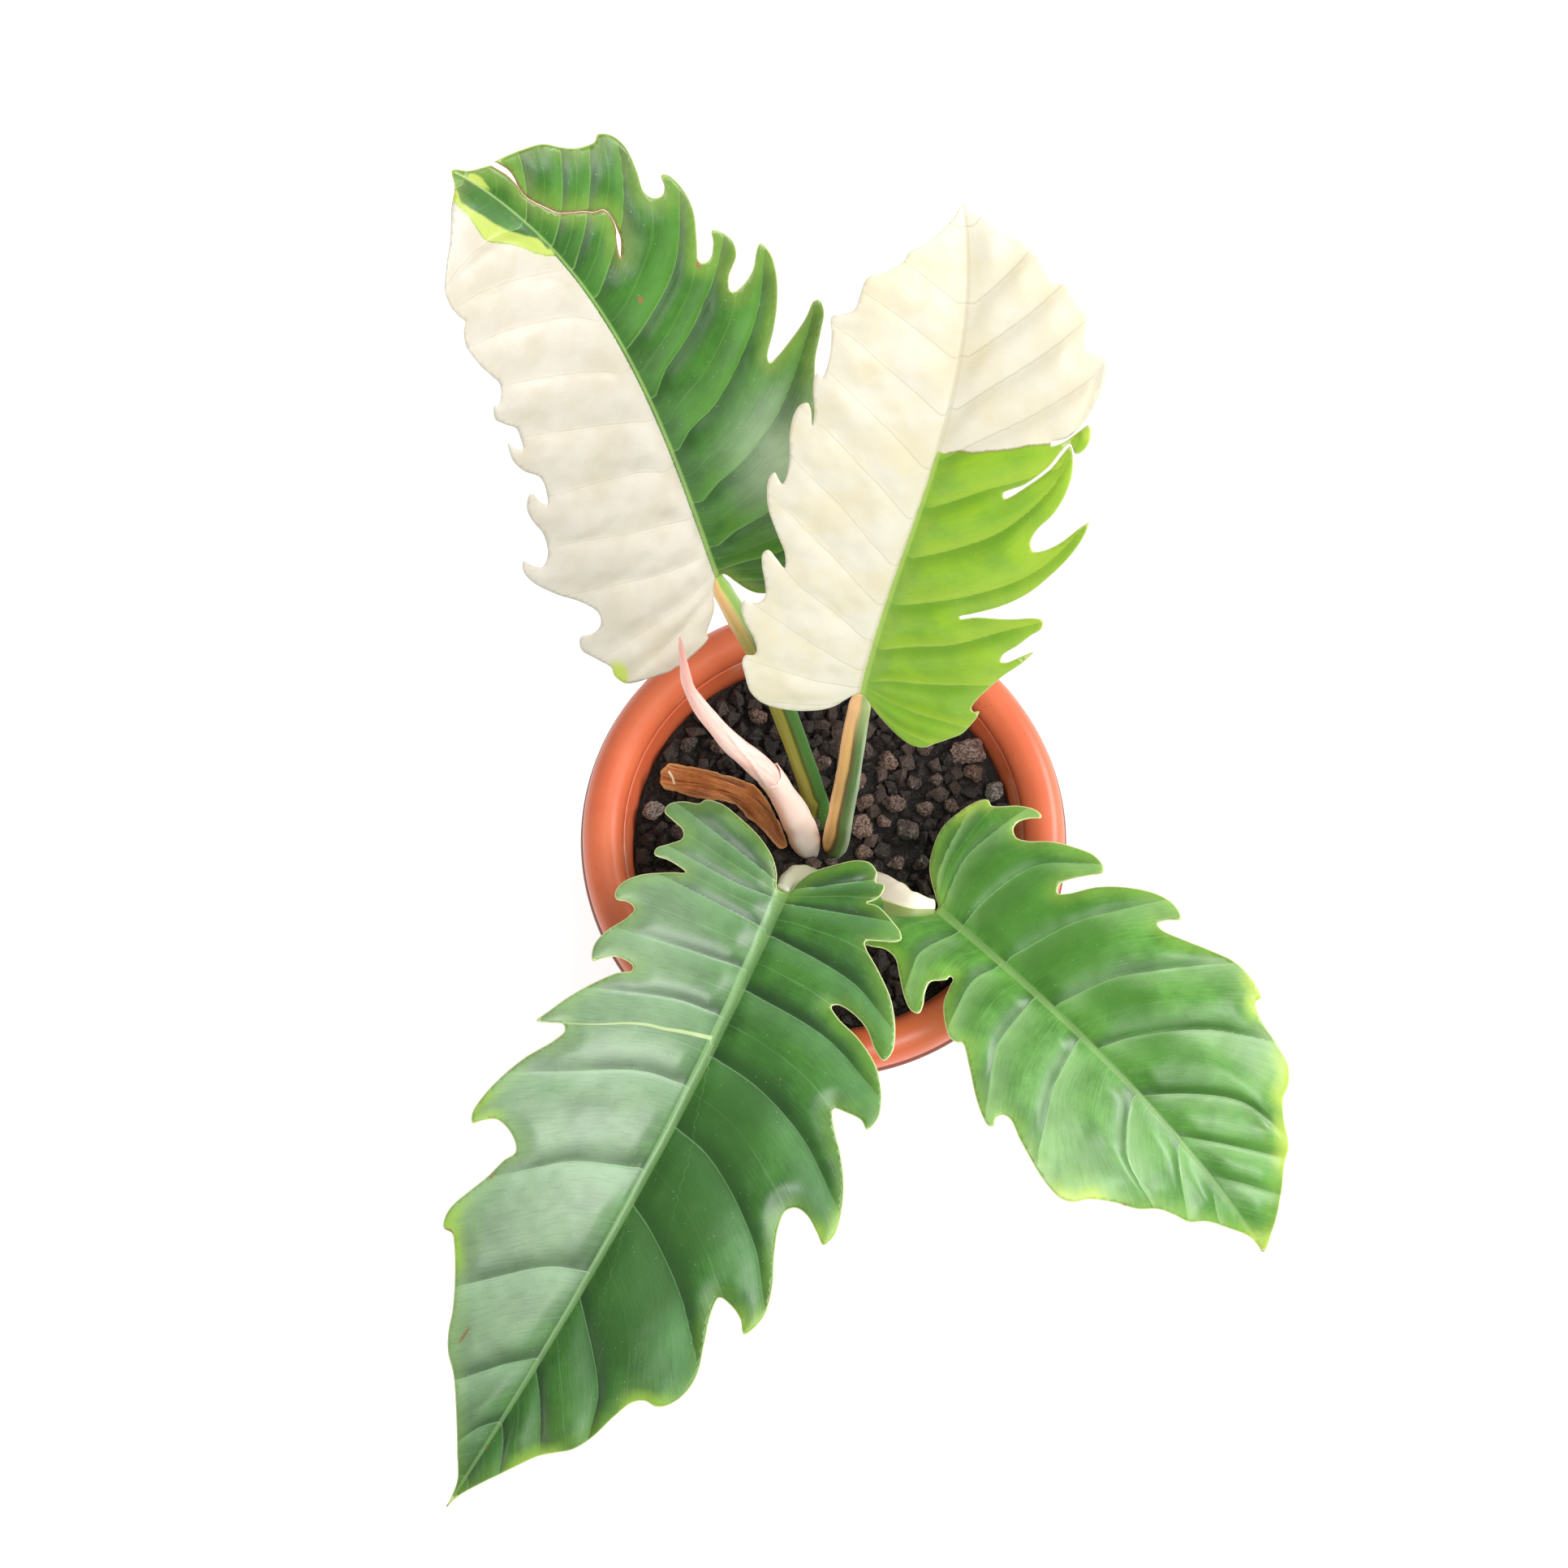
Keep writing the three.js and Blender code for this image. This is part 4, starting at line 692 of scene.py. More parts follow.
def make_leaf(name, material, torn=False, with_streak=False):
    """One leaf blade: two skins and a rim, with its flat coordinates and zones stored on its points."""
    leaf = LEAVES[name] | LOOKS[name]
    frames = midrib_frames(leaf)
    outline = leaf_outline(leaf, torn)
    flat, faces = fill(outline, GRID, 0.6)
    a, b = flat[:, 0], -flat[:, 1]
    edge = np.maximum(outline_distance(flat, outline), 0)
    halves = [vein_place(veins, a, np.abs(b)) for veins in leaf["veins"]]
    place, gap = (np.where(b < 0, halves[0][i], halves[1][i]) for i in (0, 1))
    swell = relief(leaf, a, b, edge, place, gap)
    half = 0.1 + 0.22 * smooth01(edge / 2)
    share = np.clip(a / leaf["length"], 0, 1)
    keel = 2.0 * (1 - 0.85 * share) * np.exp(-((b / (2.6 - 1.9 * share)) ** 2)) * smooth01(edge / 6)
    top = bend(leaf, frames, a, b, swell + half)
    bottom = bend(leaf, frames, a, b, swell - half - keel)
    points, faces = sheet(top, bottom, faces)
    numbers = {"along": a, "out": b, "edge": edge, "vein": place, "gap": gap}
    numbers |= leaf_zones(leaf, a, b, with_streak)
    numbers = {key: np.tile(values, 2) for key, values in numbers.items()}
    numbers["under"] = np.repeat([0.0, 1.0], len(a))
    uv = np.stack([(a + 30) / 600, (b + 80) / 600], 1)
    uv = np.vstack([uv, uv + (0.5, 0)])
    piece = mesh_object("blade_" + name, points, faces, material, numbers, uv)
    finished(piece, ["leaf_blade_" + name])


# %% [markdown]
# A leaf's skin is a waxy cuticle over green tissue. To the eye that is a satin gloss with fine streaks that
# run beside the veins, a thin pale line on each vein, and a paler, duller underside. Where the plant lacks
# chlorophyll the tissue is cream. Light and shade are painted into the green as well: a pale painted sheen
# on the tip side of each vein and over part of one half of three leaves, painted shade in the fold before
# each vein, and painted shade near the midrib of the front leaves where a half faces away from the lamps.
# One function builds the shader for all four leaves from a few colours, because they differ only in those.
# The refractive index of leaf wax is about 1.45, and the gloss is between 0.3 and 0.5. Its lengths are in
# the leaf's millimetres.


# %% Leaf finish
def leaf_material(name, tints, roughness, gloss, satin):
    """A waxy leaf from its tints, its roughness, and the weight and roughness of its wax."""
    made, tree, shader = new_material(name, roughness, IOR=1.45, Coat_Weight=gloss, Coat_Roughness=satin)
    along, out, edge, place, gap, under = (
        add(tree, "Attribute", out=2, attribute_name=key)
        for key in ("along", "out", "edge", "vein", "gap", "under")
    )
    cream_zone, lime_zone, painted_sheen_zone, dark_patch_and_shade, scar_zone, streak_off = (
        add(tree, "Attribute", out=2, attribute_name=key)
        for key in ("cream", "lime", "bloom", "dark", "scar", "streak")
    )
    away = add(tree, "Math", out, operation="ABSOLUTE")
    flat_at = add(tree, "CombineXYZ", along, out)
    clouds = add(tree, "TexNoise", {"Vector": flat_at, "Scale": 0.045, "Detail": 4.0, "Roughness": 0.62})
    grain = add(tree, "TexNoise", {"Vector": flat_at, "Scale": 0.9, "Detail": 3.0, "Roughness": 0.6})
    dots = add(tree, "TexVoronoi", {"Vector": flat_at, "Scale": 0.33})
    round_midrib, outwards = add(tree, "Math", place, 41.8, **TIMES), add(tree, "Math", away, 0.13, **TIMES)
    streak_at = add(tree, "CombineXYZ", round_midrib, outwards)
    streaks = add(tree, "TexNoise", {"Vector": streak_at, "Scale": 1.0, "Detail": 3.0, "Roughness": 0.6})

    # Where a point lies between two veins, and which veins show
    after_vein = add(tree, "Math", place, operation="FRACT")
    nearest = add(tree, "Math", add(tree, "Math", place, 0.5), operation="FRACT")
    nearest = add(tree, "Math", nearest, 0.5, operation="SUBTRACT")
    off_vein = add(tree, "Math", add(tree, "Math", nearest, operation="ABSOLUTE"), gap, **TIMES)
    off_line = add(tree, "Math", away, 0.004, off_vein, **TIMES_PLUS)
    half_way = add(tree, "Math", after_vein, 0.52, operation="SUBTRACT")
    half_way = add(tree, "Math", add(tree, "Math", half_way, operation="ABSOLUTE"), gap, **TIMES)
    leaned = add(tree, "Math", out, tints["veins_lean"], along, **TIMES_PLUS)
    veined = (leaned, tints["veins_to"], tints["veins_to"] - 60)
    line = mask(tree, (off_line, 0.45, 0.1), veined)
    # painted sheen: a pale band on the tip side of each vein
    painted_vein_sheen = mask(tree, (after_vein, 0.45, 0.02), (away, 1.0, 8.0), most=tints["vein_sheen"])
    # painted sheen: a pale whitish wash over part of one half of a leaf, where the lamps' sheen lies
    painted_sheen_mask = mask(tree, (painted_sheen_zone, 0.0, 34.0), (out, -0.5, 4.0), most=tints["bloom"])
    painted_sheen_mask = add(tree, "Math", painted_sheen_mask, add(tree, "Math", clouds, 0.7, 0.6, **TIMES_PLUS), **TIMES)
    # painted shade: a deep green band in the fold just before each vein, strongest near the midrib and
    # thinner under the painted sheen
    painted_fold_shade = mask(tree, (after_vein, 0.7, 0.97), (away, 75.0, 18.0), veined, most=tints["fold"])
    painted_fold_shade = add(tree, "Math", painted_fold_shade, add(tree, "Math", painted_sheen_mask, -1.6, 1.0, **TIMES_PLUS), **TIMES)
    rib_width = add(tree, "Math", along, -0.0034 * tints["rib_half"], tints["rib_half"], **TIMES_PLUS)
    rib = mask(tree, (add(tree, "Math", away, rib_width, operation="SUBTRACT"), 0.35, -0.35))

    # Green tissue, with lime patches that hug the margin
    green = layered(
        tree, tints["deep"],
        (clouds, 0.36, 0.64, 1.0, tints["body"]),
        (streaks, 0.42, 0.72, 0.16, tints["pale_and_sheen"]),
        # painted sheen beside the veins and over one half, then painted shade in the folds
        (painted_vein_sheen, tints["pale_and_sheen"]),
        (painted_sheen_mask, "#BED0B6"),
        (painted_fold_shade, tints["shade"]),
        (streaks, 0.5, 0.3, 0.2, tints["deep"]),
        (half_way, 0.45, 0.1, 0.2, tints["vein"]),
        # darker patches: the dark tip of a back leaf is its own colour; the patches on the front leaves are
        # painted shade where a half faces away from the lamps
        (dark_patch_and_shade, -2.0, 9.0, 0.75, tints["deep"]),
        (add(tree, "Math", line, 0.6, **TIMES), tints["vein"]),
        (add(tree, "Math", rib, 0.6, **TIMES), tints["rib"]),
    )
    lime = add(tree, "Math", lime_zone, add(tree, "Math", clouds, 2.45, -1.225, **TIMES_PLUS))
    ragged_edge = add(tree, "Math", clouds, -8.0, add(tree, "Math", edge, 4.0), **TIMES_PLUS)
    at_edge = mask(tree, (ragged_edge, 7.0, -0.5))
    patch = add(tree, "Math", at_edge, tints["lime_inland"], operation="MAXIMUM")
    patch = add(tree, "Math", mask(tree, (lime, tints["lime_from"], 0.5), most=0.9), patch, **TIMES)
    faint = add(tree, "Math", at_edge, 0.22, **TIMES)
    green = layered(tree, green, (patch, tints["lime"]), (faint, tints["lime"]))

    # Cream tissue, and the ragged line where the two meet
    cream = layered(
        tree, tints["cream_deep"],
        (clouds, 0.35, 0.65, 1.0, tints["cream"]),
        (streaks, 0.5, 0.8, 0.35, tints["cream_deep"]),
        (add(tree, "Math", rib, 0.3, **TIMES), tints["cream_rib"]),
        (lime, -1.2, 1.6, 1.0, tints["lime"]),
        (add(tree, "Math", line, 0.3, **TIMES), tints["cream_rib"]),
    )
    fringe = add(tree, "Math", cream_zone, add(tree, "Math", grain, 0.9, -0.45, **TIMES_PLUS))
    streak_width = add(tree, "Math", away, -0.013, 0.85, **TIMES_PLUS)
    in_streak = add(tree, "Math", streak_off, operation="ABSOLUTE")
    in_streak = add(tree, "Math", in_streak, streak_width, operation="SUBTRACT")
    off_fringe = add(tree, "Math", fringe, operation="ABSOLUTE")
    scar = add(tree, "Math", scar_zone, add(tree, "Math", grain, 0.8, -0.4, **TIMES_PLUS))
    skin = layered(
        tree, green,
        (fringe, -0.2, 0.25, 1.0, cream),
        (in_streak, 0.1, -0.25, 0.8, tints["cream"]),
        (mask(tree, (off_fringe, 0.55, 0.15), (out, 2.0, 3.5), most=0.55), "#8A7A3A"),
        (mask(tree, (edge, 0.5, 0.15), (fringe, 0.2, -0.2), most=0.85), tints["rim"]),
        (scar, -0.75, -0.15, 0.85, "#8A5E30"),
        (mask(tree, (dots, 0.085, 0.04), (fringe, 0.2, -0.2), most=0.3), "#C9DDB8"),
    )
    below = layered(tree, skin, (fringe, 0.3, -0.3, 0.42, "#B9CCA0"))
    skin = layered(tree, skin, (under, below))
    matt = add(tree, "Math", clouds, 0.22, roughness - 0.11, **TIMES_PLUS)
    matt = add(tree, "Math", under, 0.2, matt, **TIMES_PLUS)
    matt = add(tree, "Math", matt, mask(tree, (fringe, -0.3, 0.3), most=0.12))
    height = add(tree, "Math", streaks, 0.5, add(tree, "Math", grain, 0.35, **TIMES), **TIMES_PLUS)
    height = add(tree, "Math", line, -0.5, height, **TIMES_PLUS)
    dress(tree, shader, skin, matt, 0.5, 0.00035, height)
    print("finish:", name, len(tree.nodes), "nodes")
    return made


CREAMS = {"cream": "#C5BFB2", "cream_deep": "#BEB6A3", "cream_rib": "#B8AE88"}
half_cream = leaf_material("waxy leaf, half cream", CREAMS | {
    "body": "#3A7418", "deep": "#2A5C10", "pale_and_sheen": "#5E9A36", "shade": "#1B4010", "rib": "#9DBC66",
    "vein": "#70A050", "lime": "#B4C254", "rim": "#A9BC64", "vein_sheen": 0.35, "fold": 0.6,
    "rib_half": 0.7, "lime_inland": 1.0, "lime_from": -0.6, "veins_to": 300.0, "veins_lean": 0.0,
    "bloom": 0.75,
}, 0.4, 0.25, 0.3)
lime_cream = leaf_material("waxy leaf, lime and cream", CREAMS | {
    "body": "#92C01C", "deep": "#7DB022", "pale_and_sheen": "#B6D440", "shade": "#6A9E1E", "rib": "#B4CC6A",
    "vein": "#8AB548", "lime": "#B9D04A", "rim": "#C9DB86", "vein_sheen": 0.5, "fold": 0.6,
    "rib_half": 1.5, "lime_inland": 1.0, "lime_from": -2.0, "veins_to": 300.0, "veins_lean": 0.0,
    "bloom": 0.0, "cream": "#EAE5D2", "cream_deep": "#E6DDBE",
}, 0.5, 0.08, 0.4)
mid_green = leaf_material("waxy leaf, green", CREAMS | {
    "body": "#5C9C36", "deep": "#3E7A1A", "pale_and_sheen": "#9AC282", "shade": "#28580C", "rib": "#86AC62",
    "vein": "#86B06C", "lime": "#B2CC4C", "rim": "#DDE39A", "vein_sheen": 0.45, "fold": 0.85,
    "rib_half": 1.6, "lime_inland": 0.1, "lime_from": -7.0, "veins_to": 165.0, "veins_lean": 0.0,
    "bloom": 0.08,
}, 0.44, 0.5, 0.32)
deep_green = leaf_material("waxy leaf, deep green", CREAMS | {
    "body": "#38731C", "deep": "#285B12", "pale_and_sheen": "#6A9C64", "shade": "#123F04", "rib": "#80A868",
    "vein": "#82AA78", "lime": "#94BC3C", "rim": "#D9E09A", "vein_sheen": 0.45, "fold": 0.95,
    "rib_half": 2.8, "lime_inland": 0.1, "lime_from": -7.0, "veins_to": 270.0, "veins_lean": 0.8,
    "bloom": 0.32, "cream": "#BACD90",
}, 0.44, 0.6, 0.32)

# %% The four leaves
make_leaf("back_left", half_cream, torn=True)
make_leaf("back_right", lime_cream)
make_leaf("front_right", mid_green)
make_leaf("front_left", deep_green, with_streak=True)

# %% [markdown]
# ## Stalks
# A stalk, the rolled new leaf and the bud sheath are all one idea: a soft oval that follows a line and
# changes size on the way. A curve with a bevel could do it, but it can't keep the shallow channel of a leaf
# stalk facing up, nor tell a material which way is up. So one function lofts them as rings. Each ring has
# its own width and thickness, and each point remembers its share of the length and its place round the
# ring, which the two-tone finishes need.

# %% Lofting a stalk
RING = 48  # points round a stalk
AROUND = np.linspace(-0.5, 1.5, RING, endpoint=False) * math.pi  # the angle of each, from the underside


def stalk_rings(line, sizes, rings, channel=0.0, wobble=0.0, seed=0.0):
    """Rings of a stalk in millimetres: points (rings, RING, 3), shares, the ring's cosines and sines,
    headings."""
    dense = smooth_line(line, False, 40)
    reach = np.concatenate([[0], np.cumsum(np.linalg.norm(np.diff(dense, axis=0), axis=1))])
    share = np.linspace(0, 1, rings)
    path = np.stack([np.interp(share * reach[-1], reach, dense[:, i]) for i in range(3)], 1)
    along = np.gradient(path, axis=0)
    along /= np.linalg.norm(along, axis=1)[:, None]
    side = np.cross(along, [0, 0, 1.0])
    side /= np.linalg.norm(side, axis=1)[:, None]
    up = np.cross(side, along)
    table = np.array(sizes, float)
    k = np.clip(np.searchsorted(table[:, 0], share, side="right") - 1, 0, len(table) - 2)
    ease = smooth01((share - table[k, 0]) / (table[k + 1, 0] - table[k, 0]))[:, None]
    half = (table[k, 1:] * (1 - ease) + table[k + 1, 1:] * ease) / 2
    right, rise = -np.cos(AROUND), np.sin(AROUND)
    dent = 1 - channel * np.exp(-(((AROUND - math.pi / 2) / 0.42) ** 2))
    lumps = np.array([
        [1 + wobble * noise.noise(Vector((s * 9, 1.2 * c, 1.2 * r + seed))) for c, r in zip(right, rise)]
        for s in share
    ])
    x = right * half[:, :1] * lumps
    y = rise * dent * half[:, 1:] * lumps
    points = path[:, None] + side[:, None] * x[..., None] + up[:, None] * y[..., None]
    return points, share, right, rise, along


def tube(name, rings, share, right, rise, material, numbers=None, ends=(0.35, 0.35)):
    """A closed mesh from rings, with a rounded cap at each end that stands out by a share of its radius."""
    count = len(rings)
    points = rings.reshape(-1, 3)
    faces = []
    for i in range(count - 1):
        for j in range(RING):
            k = (j + 1) % RING
            faces.append((i * RING + j, i * RING + k, (i + 1) * RING + k, (i + 1) * RING + j))
    values = {"share": np.repeat(share, RING), "right": np.tile(right, count), "rise": np.tile(rise, count)}
    values |= {key: np.asarray(value).ravel() for key, value in (numbers or {}).items()}
    for end, bulge, next_ring in ((0, ends[0], 1), (count - 1, ends[1], count - 2)):
        ring = rings[end]
        centre = ring.mean(0)
        out = centre - rings[next_ring].mean(0)
        out /= np.linalg.norm(out)
        radius = np.linalg.norm(ring - centre, axis=1).mean()
        start = end * RING
        for turn in (0.4, 0.75):
            inwards, outwards = math.cos(turn * math.pi / 2), math.sin(turn * math.pi / 2)
            smaller = centre + (ring - centre) * inwards + out * radius * bulge * outwards
            first = len(points)
            points = np.vstack([points, smaller])
            for key in values:
                values[key] = np.concatenate([values[key], values[key][end * RING : end * RING + RING]])
            for j in range(RING):
                k = (j + 1) % RING
                quad = (start + j, start + k, first + k, first + j)
                faces.append(quad if end else quad[::-1])
            start = first
        points = np.vstack([points, centre + out * radius * bulge])
        for key in values:
            values[key] = np.append(values[key], values[key][end * RING])
        tip = len(points) - 1
        for j in range(RING):
            edge = (start + j, start + (j + 1) % RING, tip)
            faces.append(edge if end else edge[::-1])
    return mesh_object(name, points, faces, material, values)


# %% [markdown]
# The stalks of the two back leaves are smooth and half glossy, olive-green with one side flushed orange,
# and a dark groove between. The two front ones are short and widen into a pale sheath that once wrapped the
# next leaf. Skin like this is drawn with long thin streaks, so its noise is stretched along the stalk.
# Small corky specks are scattered over it, as on any stalk that has been handled.


# %% Stalk finishes
def streaked(tree, fine, long):
    """Noise round a stalk, stretched along it: fine is how often it changes round it, long along it."""
    times = {"right": fine, "rise": fine, "share": long}
    read = [add(tree, "Attribute", out=2, attribute_name=key) for key in times]
    at = [add(tree, "Math", value, often, **TIMES) for value, often in zip(read, times.values())]
    where = add(tree, "CombineXYZ", *at)
    return add(tree, "TexNoise", {"Vector": where, "Scale": 1.0, "Detail": 4.0, "Roughness": 0.6})


def stalk_material(name, left, groove, right_tint, edge_tint, top_left, top_right, split):
    """A two-tone stalk: left of its channel, in it, right of it and at its right edge, then the same at
    the top."""
    made, tree, shader = new_material(name, 0.36, IOR=1.45, Coat_Weight=0.12, Coat_Roughness=0.25)
    side, share = (add(tree, "Attribute", out=2, attribute_name=key) for key in ("right", "share"))
    fibre = streaked(tree, 5.0, 6.0)
    across = add(tree, "Math", fibre, 0.3, add(tree, "Math", side, -0.15), **TIMES_PLUS)
    specks = add(tree, "TexVoronoi", {"Vector": add(tree, "TexCoord", out=3), "Scale": 420.0})
    low_part = layered(
        tree, left,
        (across, split - 0.28, split - 0.02, 1.0, groove),
        (across, split, split + 0.3, 1.0, right_tint),
        (across, 0.72, 0.98, 1.0, edge_tint),
    )
    high_part = layered(tree, top_left, (across, split - 0.2, split + 0.25, 1.0, top_right))
    skin = layered(
        tree, low_part,
        (share, 0.72, 0.97, 1.0, high_part),
        (fibre, 0.5, 0.8, 0.3, groove),
        (specks, 0.16, 0.06, 0.5, "#B98F5A"),
    )
    dress(tree, shader, skin, add(tree, "Math", fibre, 0.3, 0.22, **TIMES_PLUS), 0.5, 0.0003, fibre)
    return made


# %% Stalks of the back leaves
STALKS = {  # a line, then share of the length, width and thickness
    "back_right": (
        [
            (2.6, -2.8, 109.4), (4.2, -1.8, 121), (5.7, 0.6, 150), (7.9, 5, 195), (9.7, 10.4, 236),
            (10.5, 12.3, 250), (11.1, 14.1, 263.7),
        ],
        [(0, 7, 6), (0.08, 10.2, 8.6), (0.3, 9.4, 8.2), (0.7, 8.4, 7.4), (0.92, 7.6, 6.4), (1, 4.6, 3.6)],
    ),
    "back_left": (
        [
            (0.4, 1.6, 109.4), (-2.2, 12.6, 121), (-4.4, 15.6, 134), (-7.6, 19.6, 154), (-14.6, 28.8, 190),
            (-25, 40.4, 232), (-35.7, 50.6, 262.3), (-37.4, 53.1, 268.7),
        ],
        [(0, 7, 6), (0.1, 9.2, 8.2), (0.5, 8.8, 7.8), (0.85, 8, 7.2), (0.95, 7, 6), (1, 4.4, 3.4)],
    ),
    "front_left": (
        [
            (-0.4, -6.6, 109.4), (-1.8, -15.6, 118.6), (-4.6, -17.4, 133), (-9.6, -21.4, 149),
            (-13.2, -26.6, 160.4), (-14.9, -29.6, 165.4),
        ],
        [(0, 6, 5), (0.2, 7.4, 5.6), (0.6, 10.4, 6.4), (0.85, 8.4, 6), (1, 5.6, 3.4)],
    ),
    "front_right": (
        [
            (4, -6.2, 109.4), (7.8, -15.6, 121), (12.6, -20.8, 135), (20.6, -28.2, 150), (30, -34, 159.4),
            (38.6, -34.8, 159.4),
        ],
        [(0, 6, 5), (0.2, 9, 7), (0.55, 16, 7), (0.75, 15.4, 6.4), (0.9, 10.6, 5.4), (1, 6, 3.4)],
    ),
}


def make_stalk(name, material, rings, channel, wobble):
    """The stalk of one leaf as a tube."""
    node = "petiole_" + name
    loft = stalk_rings(*STALKS[name], rings, channel, wobble, len(node))
    finished(tube("stalk_" + name, *loft[:4], material), [node])


orange_green = stalk_material(
    "leaf stalk, orange and green", "#FFC67C", "#75603A", "#64844A", "#B4C8A4", "#FFC78C", "#A9B878", 0.2
)
olive_green = stalk_material(
    "leaf stalk, olive and green", "#8E9038", "#465222", "#467638", "#7CA866", "#E3B778", "#8DB04E", -0.25
)
make_stalk("back_right", orange_green, 150, 0.16, 0.05)
make_stalk("back_left", olive_green, 150, 0.16, 0.05)

# %% [markdown]
# The sheaths of the front stalks are the same skin without chlorophyll. They are cream where they face up,
# with faint pink lines, and turn to olive-green below. A thin lime line marks where the two meet.


# %% Stalks of the front leaves
def sheath_material(name, cream, pink, line_tint, olive, olive_front):
    """A pale sheath over a green stalk. olive_front is how much further up the green comes on its right
    side."""
    made, tree, shader = new_material(name, 0.4, IOR=1.45, Coat_Weight=0.08, Coat_Roughness=0.3)
    side, rise, share = (add(tree, "Attribute", out=2, attribute_name=k) for k in ("right", "rise", "share"))
    fibre = streaked(tree, 6.0, 3.0)
    edge = add(tree, "Math", fibre, 0.4, add(tree, "Math", rise, -0.2), **TIMES_PLUS)
    in_front = mask(tree, (side, -0.1, 0.5), most=olive_front)
    edge = add(tree, "Math", edge, in_front, operation="SUBTRACT")
    skin = layered(
        tree, olive,
        (edge, 0.05, 0.2, 1.0, line_tint),
        (edge, 0.22, 0.34, 1.0, cream),
        (share, 0.5, 0.3, 1.0, olive),
        (mask(tree, (fibre, 0.55, 0.72), (edge, 0.2, 0.5), most=0.5), pink),
    )
    dress(tree, shader, skin, add(tree, "Math", fibre, 0.25, 0.3, **TIMES_PLUS), 0.4, 0.0003, fibre)
    return made


cream_sheath = sheath_material(
    "leaf sheath, cream over olive", "#F2E8D4", "#E8B9A0", "#C0CC70", "#8C9C5C", 1.0
)
pale_sheath = sheath_material(
    "leaf sheath, greenish white", "#B4B69C", "#A09C84", "#A8B080", "#7F9A5E", 0.0
)
make_stalk("front_left", pale_sheath, 110, 0.1, 0.08)
make_stalk("front_right", cream_sheath, 110, 0.1, 0.08)

# %% [markdown]
# ## The new leaf in its bud sheath
# A new leaf of this plant comes out rolled as tight as a cigar, here cream and pink because it has almost
# no chlorophyll. It pushes out of a fleshy sheath whose torn collar stands open round it. The roll is a
# loft whose surface is wound: one long ridge, the leaf's free margin, twists up it. Such pale tissue lets a
# little light through.

# %% The rolled new leaf
NEW_LEAF = (
    [
        (-14.6, 5.9, 159), (-18.7, 8.6, 173), (-25.6, 10.9, 190), (-32.6, 13.1, 204), (-38.4, 15.8, 218),
        (-43.6, 18.2, 234), (-46.8, 20, 252), (-47.8, 22.6, 270), (-48.4, 25.2, 287),
    ],
    [
        (0, 6.4, 6.4), (0.11, 8.4, 8), (0.2, 9.4, 8), (0.33, 8.2, 6.8), (0.5, 6.2, 5.4), (0.75, 4, 3.6),
        (0.93, 2.1, 1.9), (1, 0.8, 0.8),
    ],
)
WINDING = 5.2  # how far the free margin turns round the roll, in radians
rings, share, right, rise, along = stalk_rings(*NEW_LEAF, 220, 0.0, 0.04, 2.5)
roll = (AROUND[None, :] - WINDING * share[:, None] + 0.6) % (2 * math.pi)
fold = 0.1 * np.clip(1 - roll / 1.6, 0, 1) * smooth01((2 * math.pi - roll) / 0.25)
centres = rings.mean(1, keepdims=True)
rings = centres + (rings - centres) * (0.97 + fold)[..., None]

made, tree, shader = new_material(
    "rolled leaf tissue, pink", 0.42, IOR=1.42, Subsurface_Weight=0.15, Subsurface_Scale=0.003
)
fibre = streaked(tree, 4.0, 9.0)
seam, up_share = (add(tree, "Attribute", out=2, attribute_name=key) for key in ("roll", "share"))
skin = layered(
    tree, "#FFD8CE",
    (fibre, 0.35, 0.7, 1.0, "#F5B8AE"),
    (seam, 0.5, 0.0, 0.7, "#FBE6D8"),
    (seam, 5.9, 6.25, 0.35, "#E39C8C"),
    (up_share, 0.45, 1.0, 0.6, "#E9988B"),
)
dress(tree, shader, skin, add(tree, "Math", fibre, 0.25, 0.3, **TIMES_PLUS), 0.5, 0.0003, fibre)
piece = tube("new_leaf_roll", rings, share, right, rise, made, {"roll": roll}, (0.3, 1.5))
finished(piece, ["rolled_new_leaf"])

# %% [markdown]
# The bud sheath is a second loft. Its last rings are pulled out into two flaps with a torn edge, flare a
# little, and then turn inwards and go back down, which gives the collar a real thickness and a real opening.

# %% The bud sheath
BUD = (
    [
        (-3.4, -2.4, 109.6), (-5.8, -1.4, 119), (-9.4, 2.4, 136), (-13.6, 5.6, 154), (-17.6, 8, 170),
        (-19.6, 9.2, 176),
    ],
    [(0, 5, 5), (0.07, 9.4, 8), (0.22, 12, 10), (0.5, 11.4, 10), (0.8, 9.6, 9), (1, 9, 8.6)],
)
INSIDE = ((0.0, 0.95), (0.6, 0.92), (3.0, 0.9), (6.0, 0.88), (9.0, 0.84))  # depth in mm, share of width
rings, share, right, rise, along = stalk_rings(*BUD, 100, 0.06, 0.06, 4.0)
flap = 3.6 * np.exp(-(((AROUND - 2.7) / 0.5) ** 2)) + 1.5 * np.exp(-(((AROUND - 0.1) / 0.7) ** 2))
flap += 0.5 * np.sin(7 * AROUND + 1) * np.sin(3 * AROUND)
reach = smooth01((share - 0.82) / 0.18)
waves = (1 + 0.25 * np.sin(2 * AROUND + 0.6))[None, :]
flare = 1 + 0.07 * smooth01((share - 0.86) / 0.14)[:, None] * waves
centres = rings.mean(1, keepdims=True)
rings = centres + (rings - centres) * flare[..., None]
rings = rings + along[:, None] * (reach[:, None] * flap[None, :])[..., None]
mouth = rings[-1].mean(0)
inner = [mouth + (rings[-1] - mouth) * narrow - along[-1] * depth for depth, narrow in INSIDE]
rings = np.vstack([rings, np.array(inner)])
share = np.concatenate([share, [1.0, 1.01, 1.04, 1.08, 1.12]])

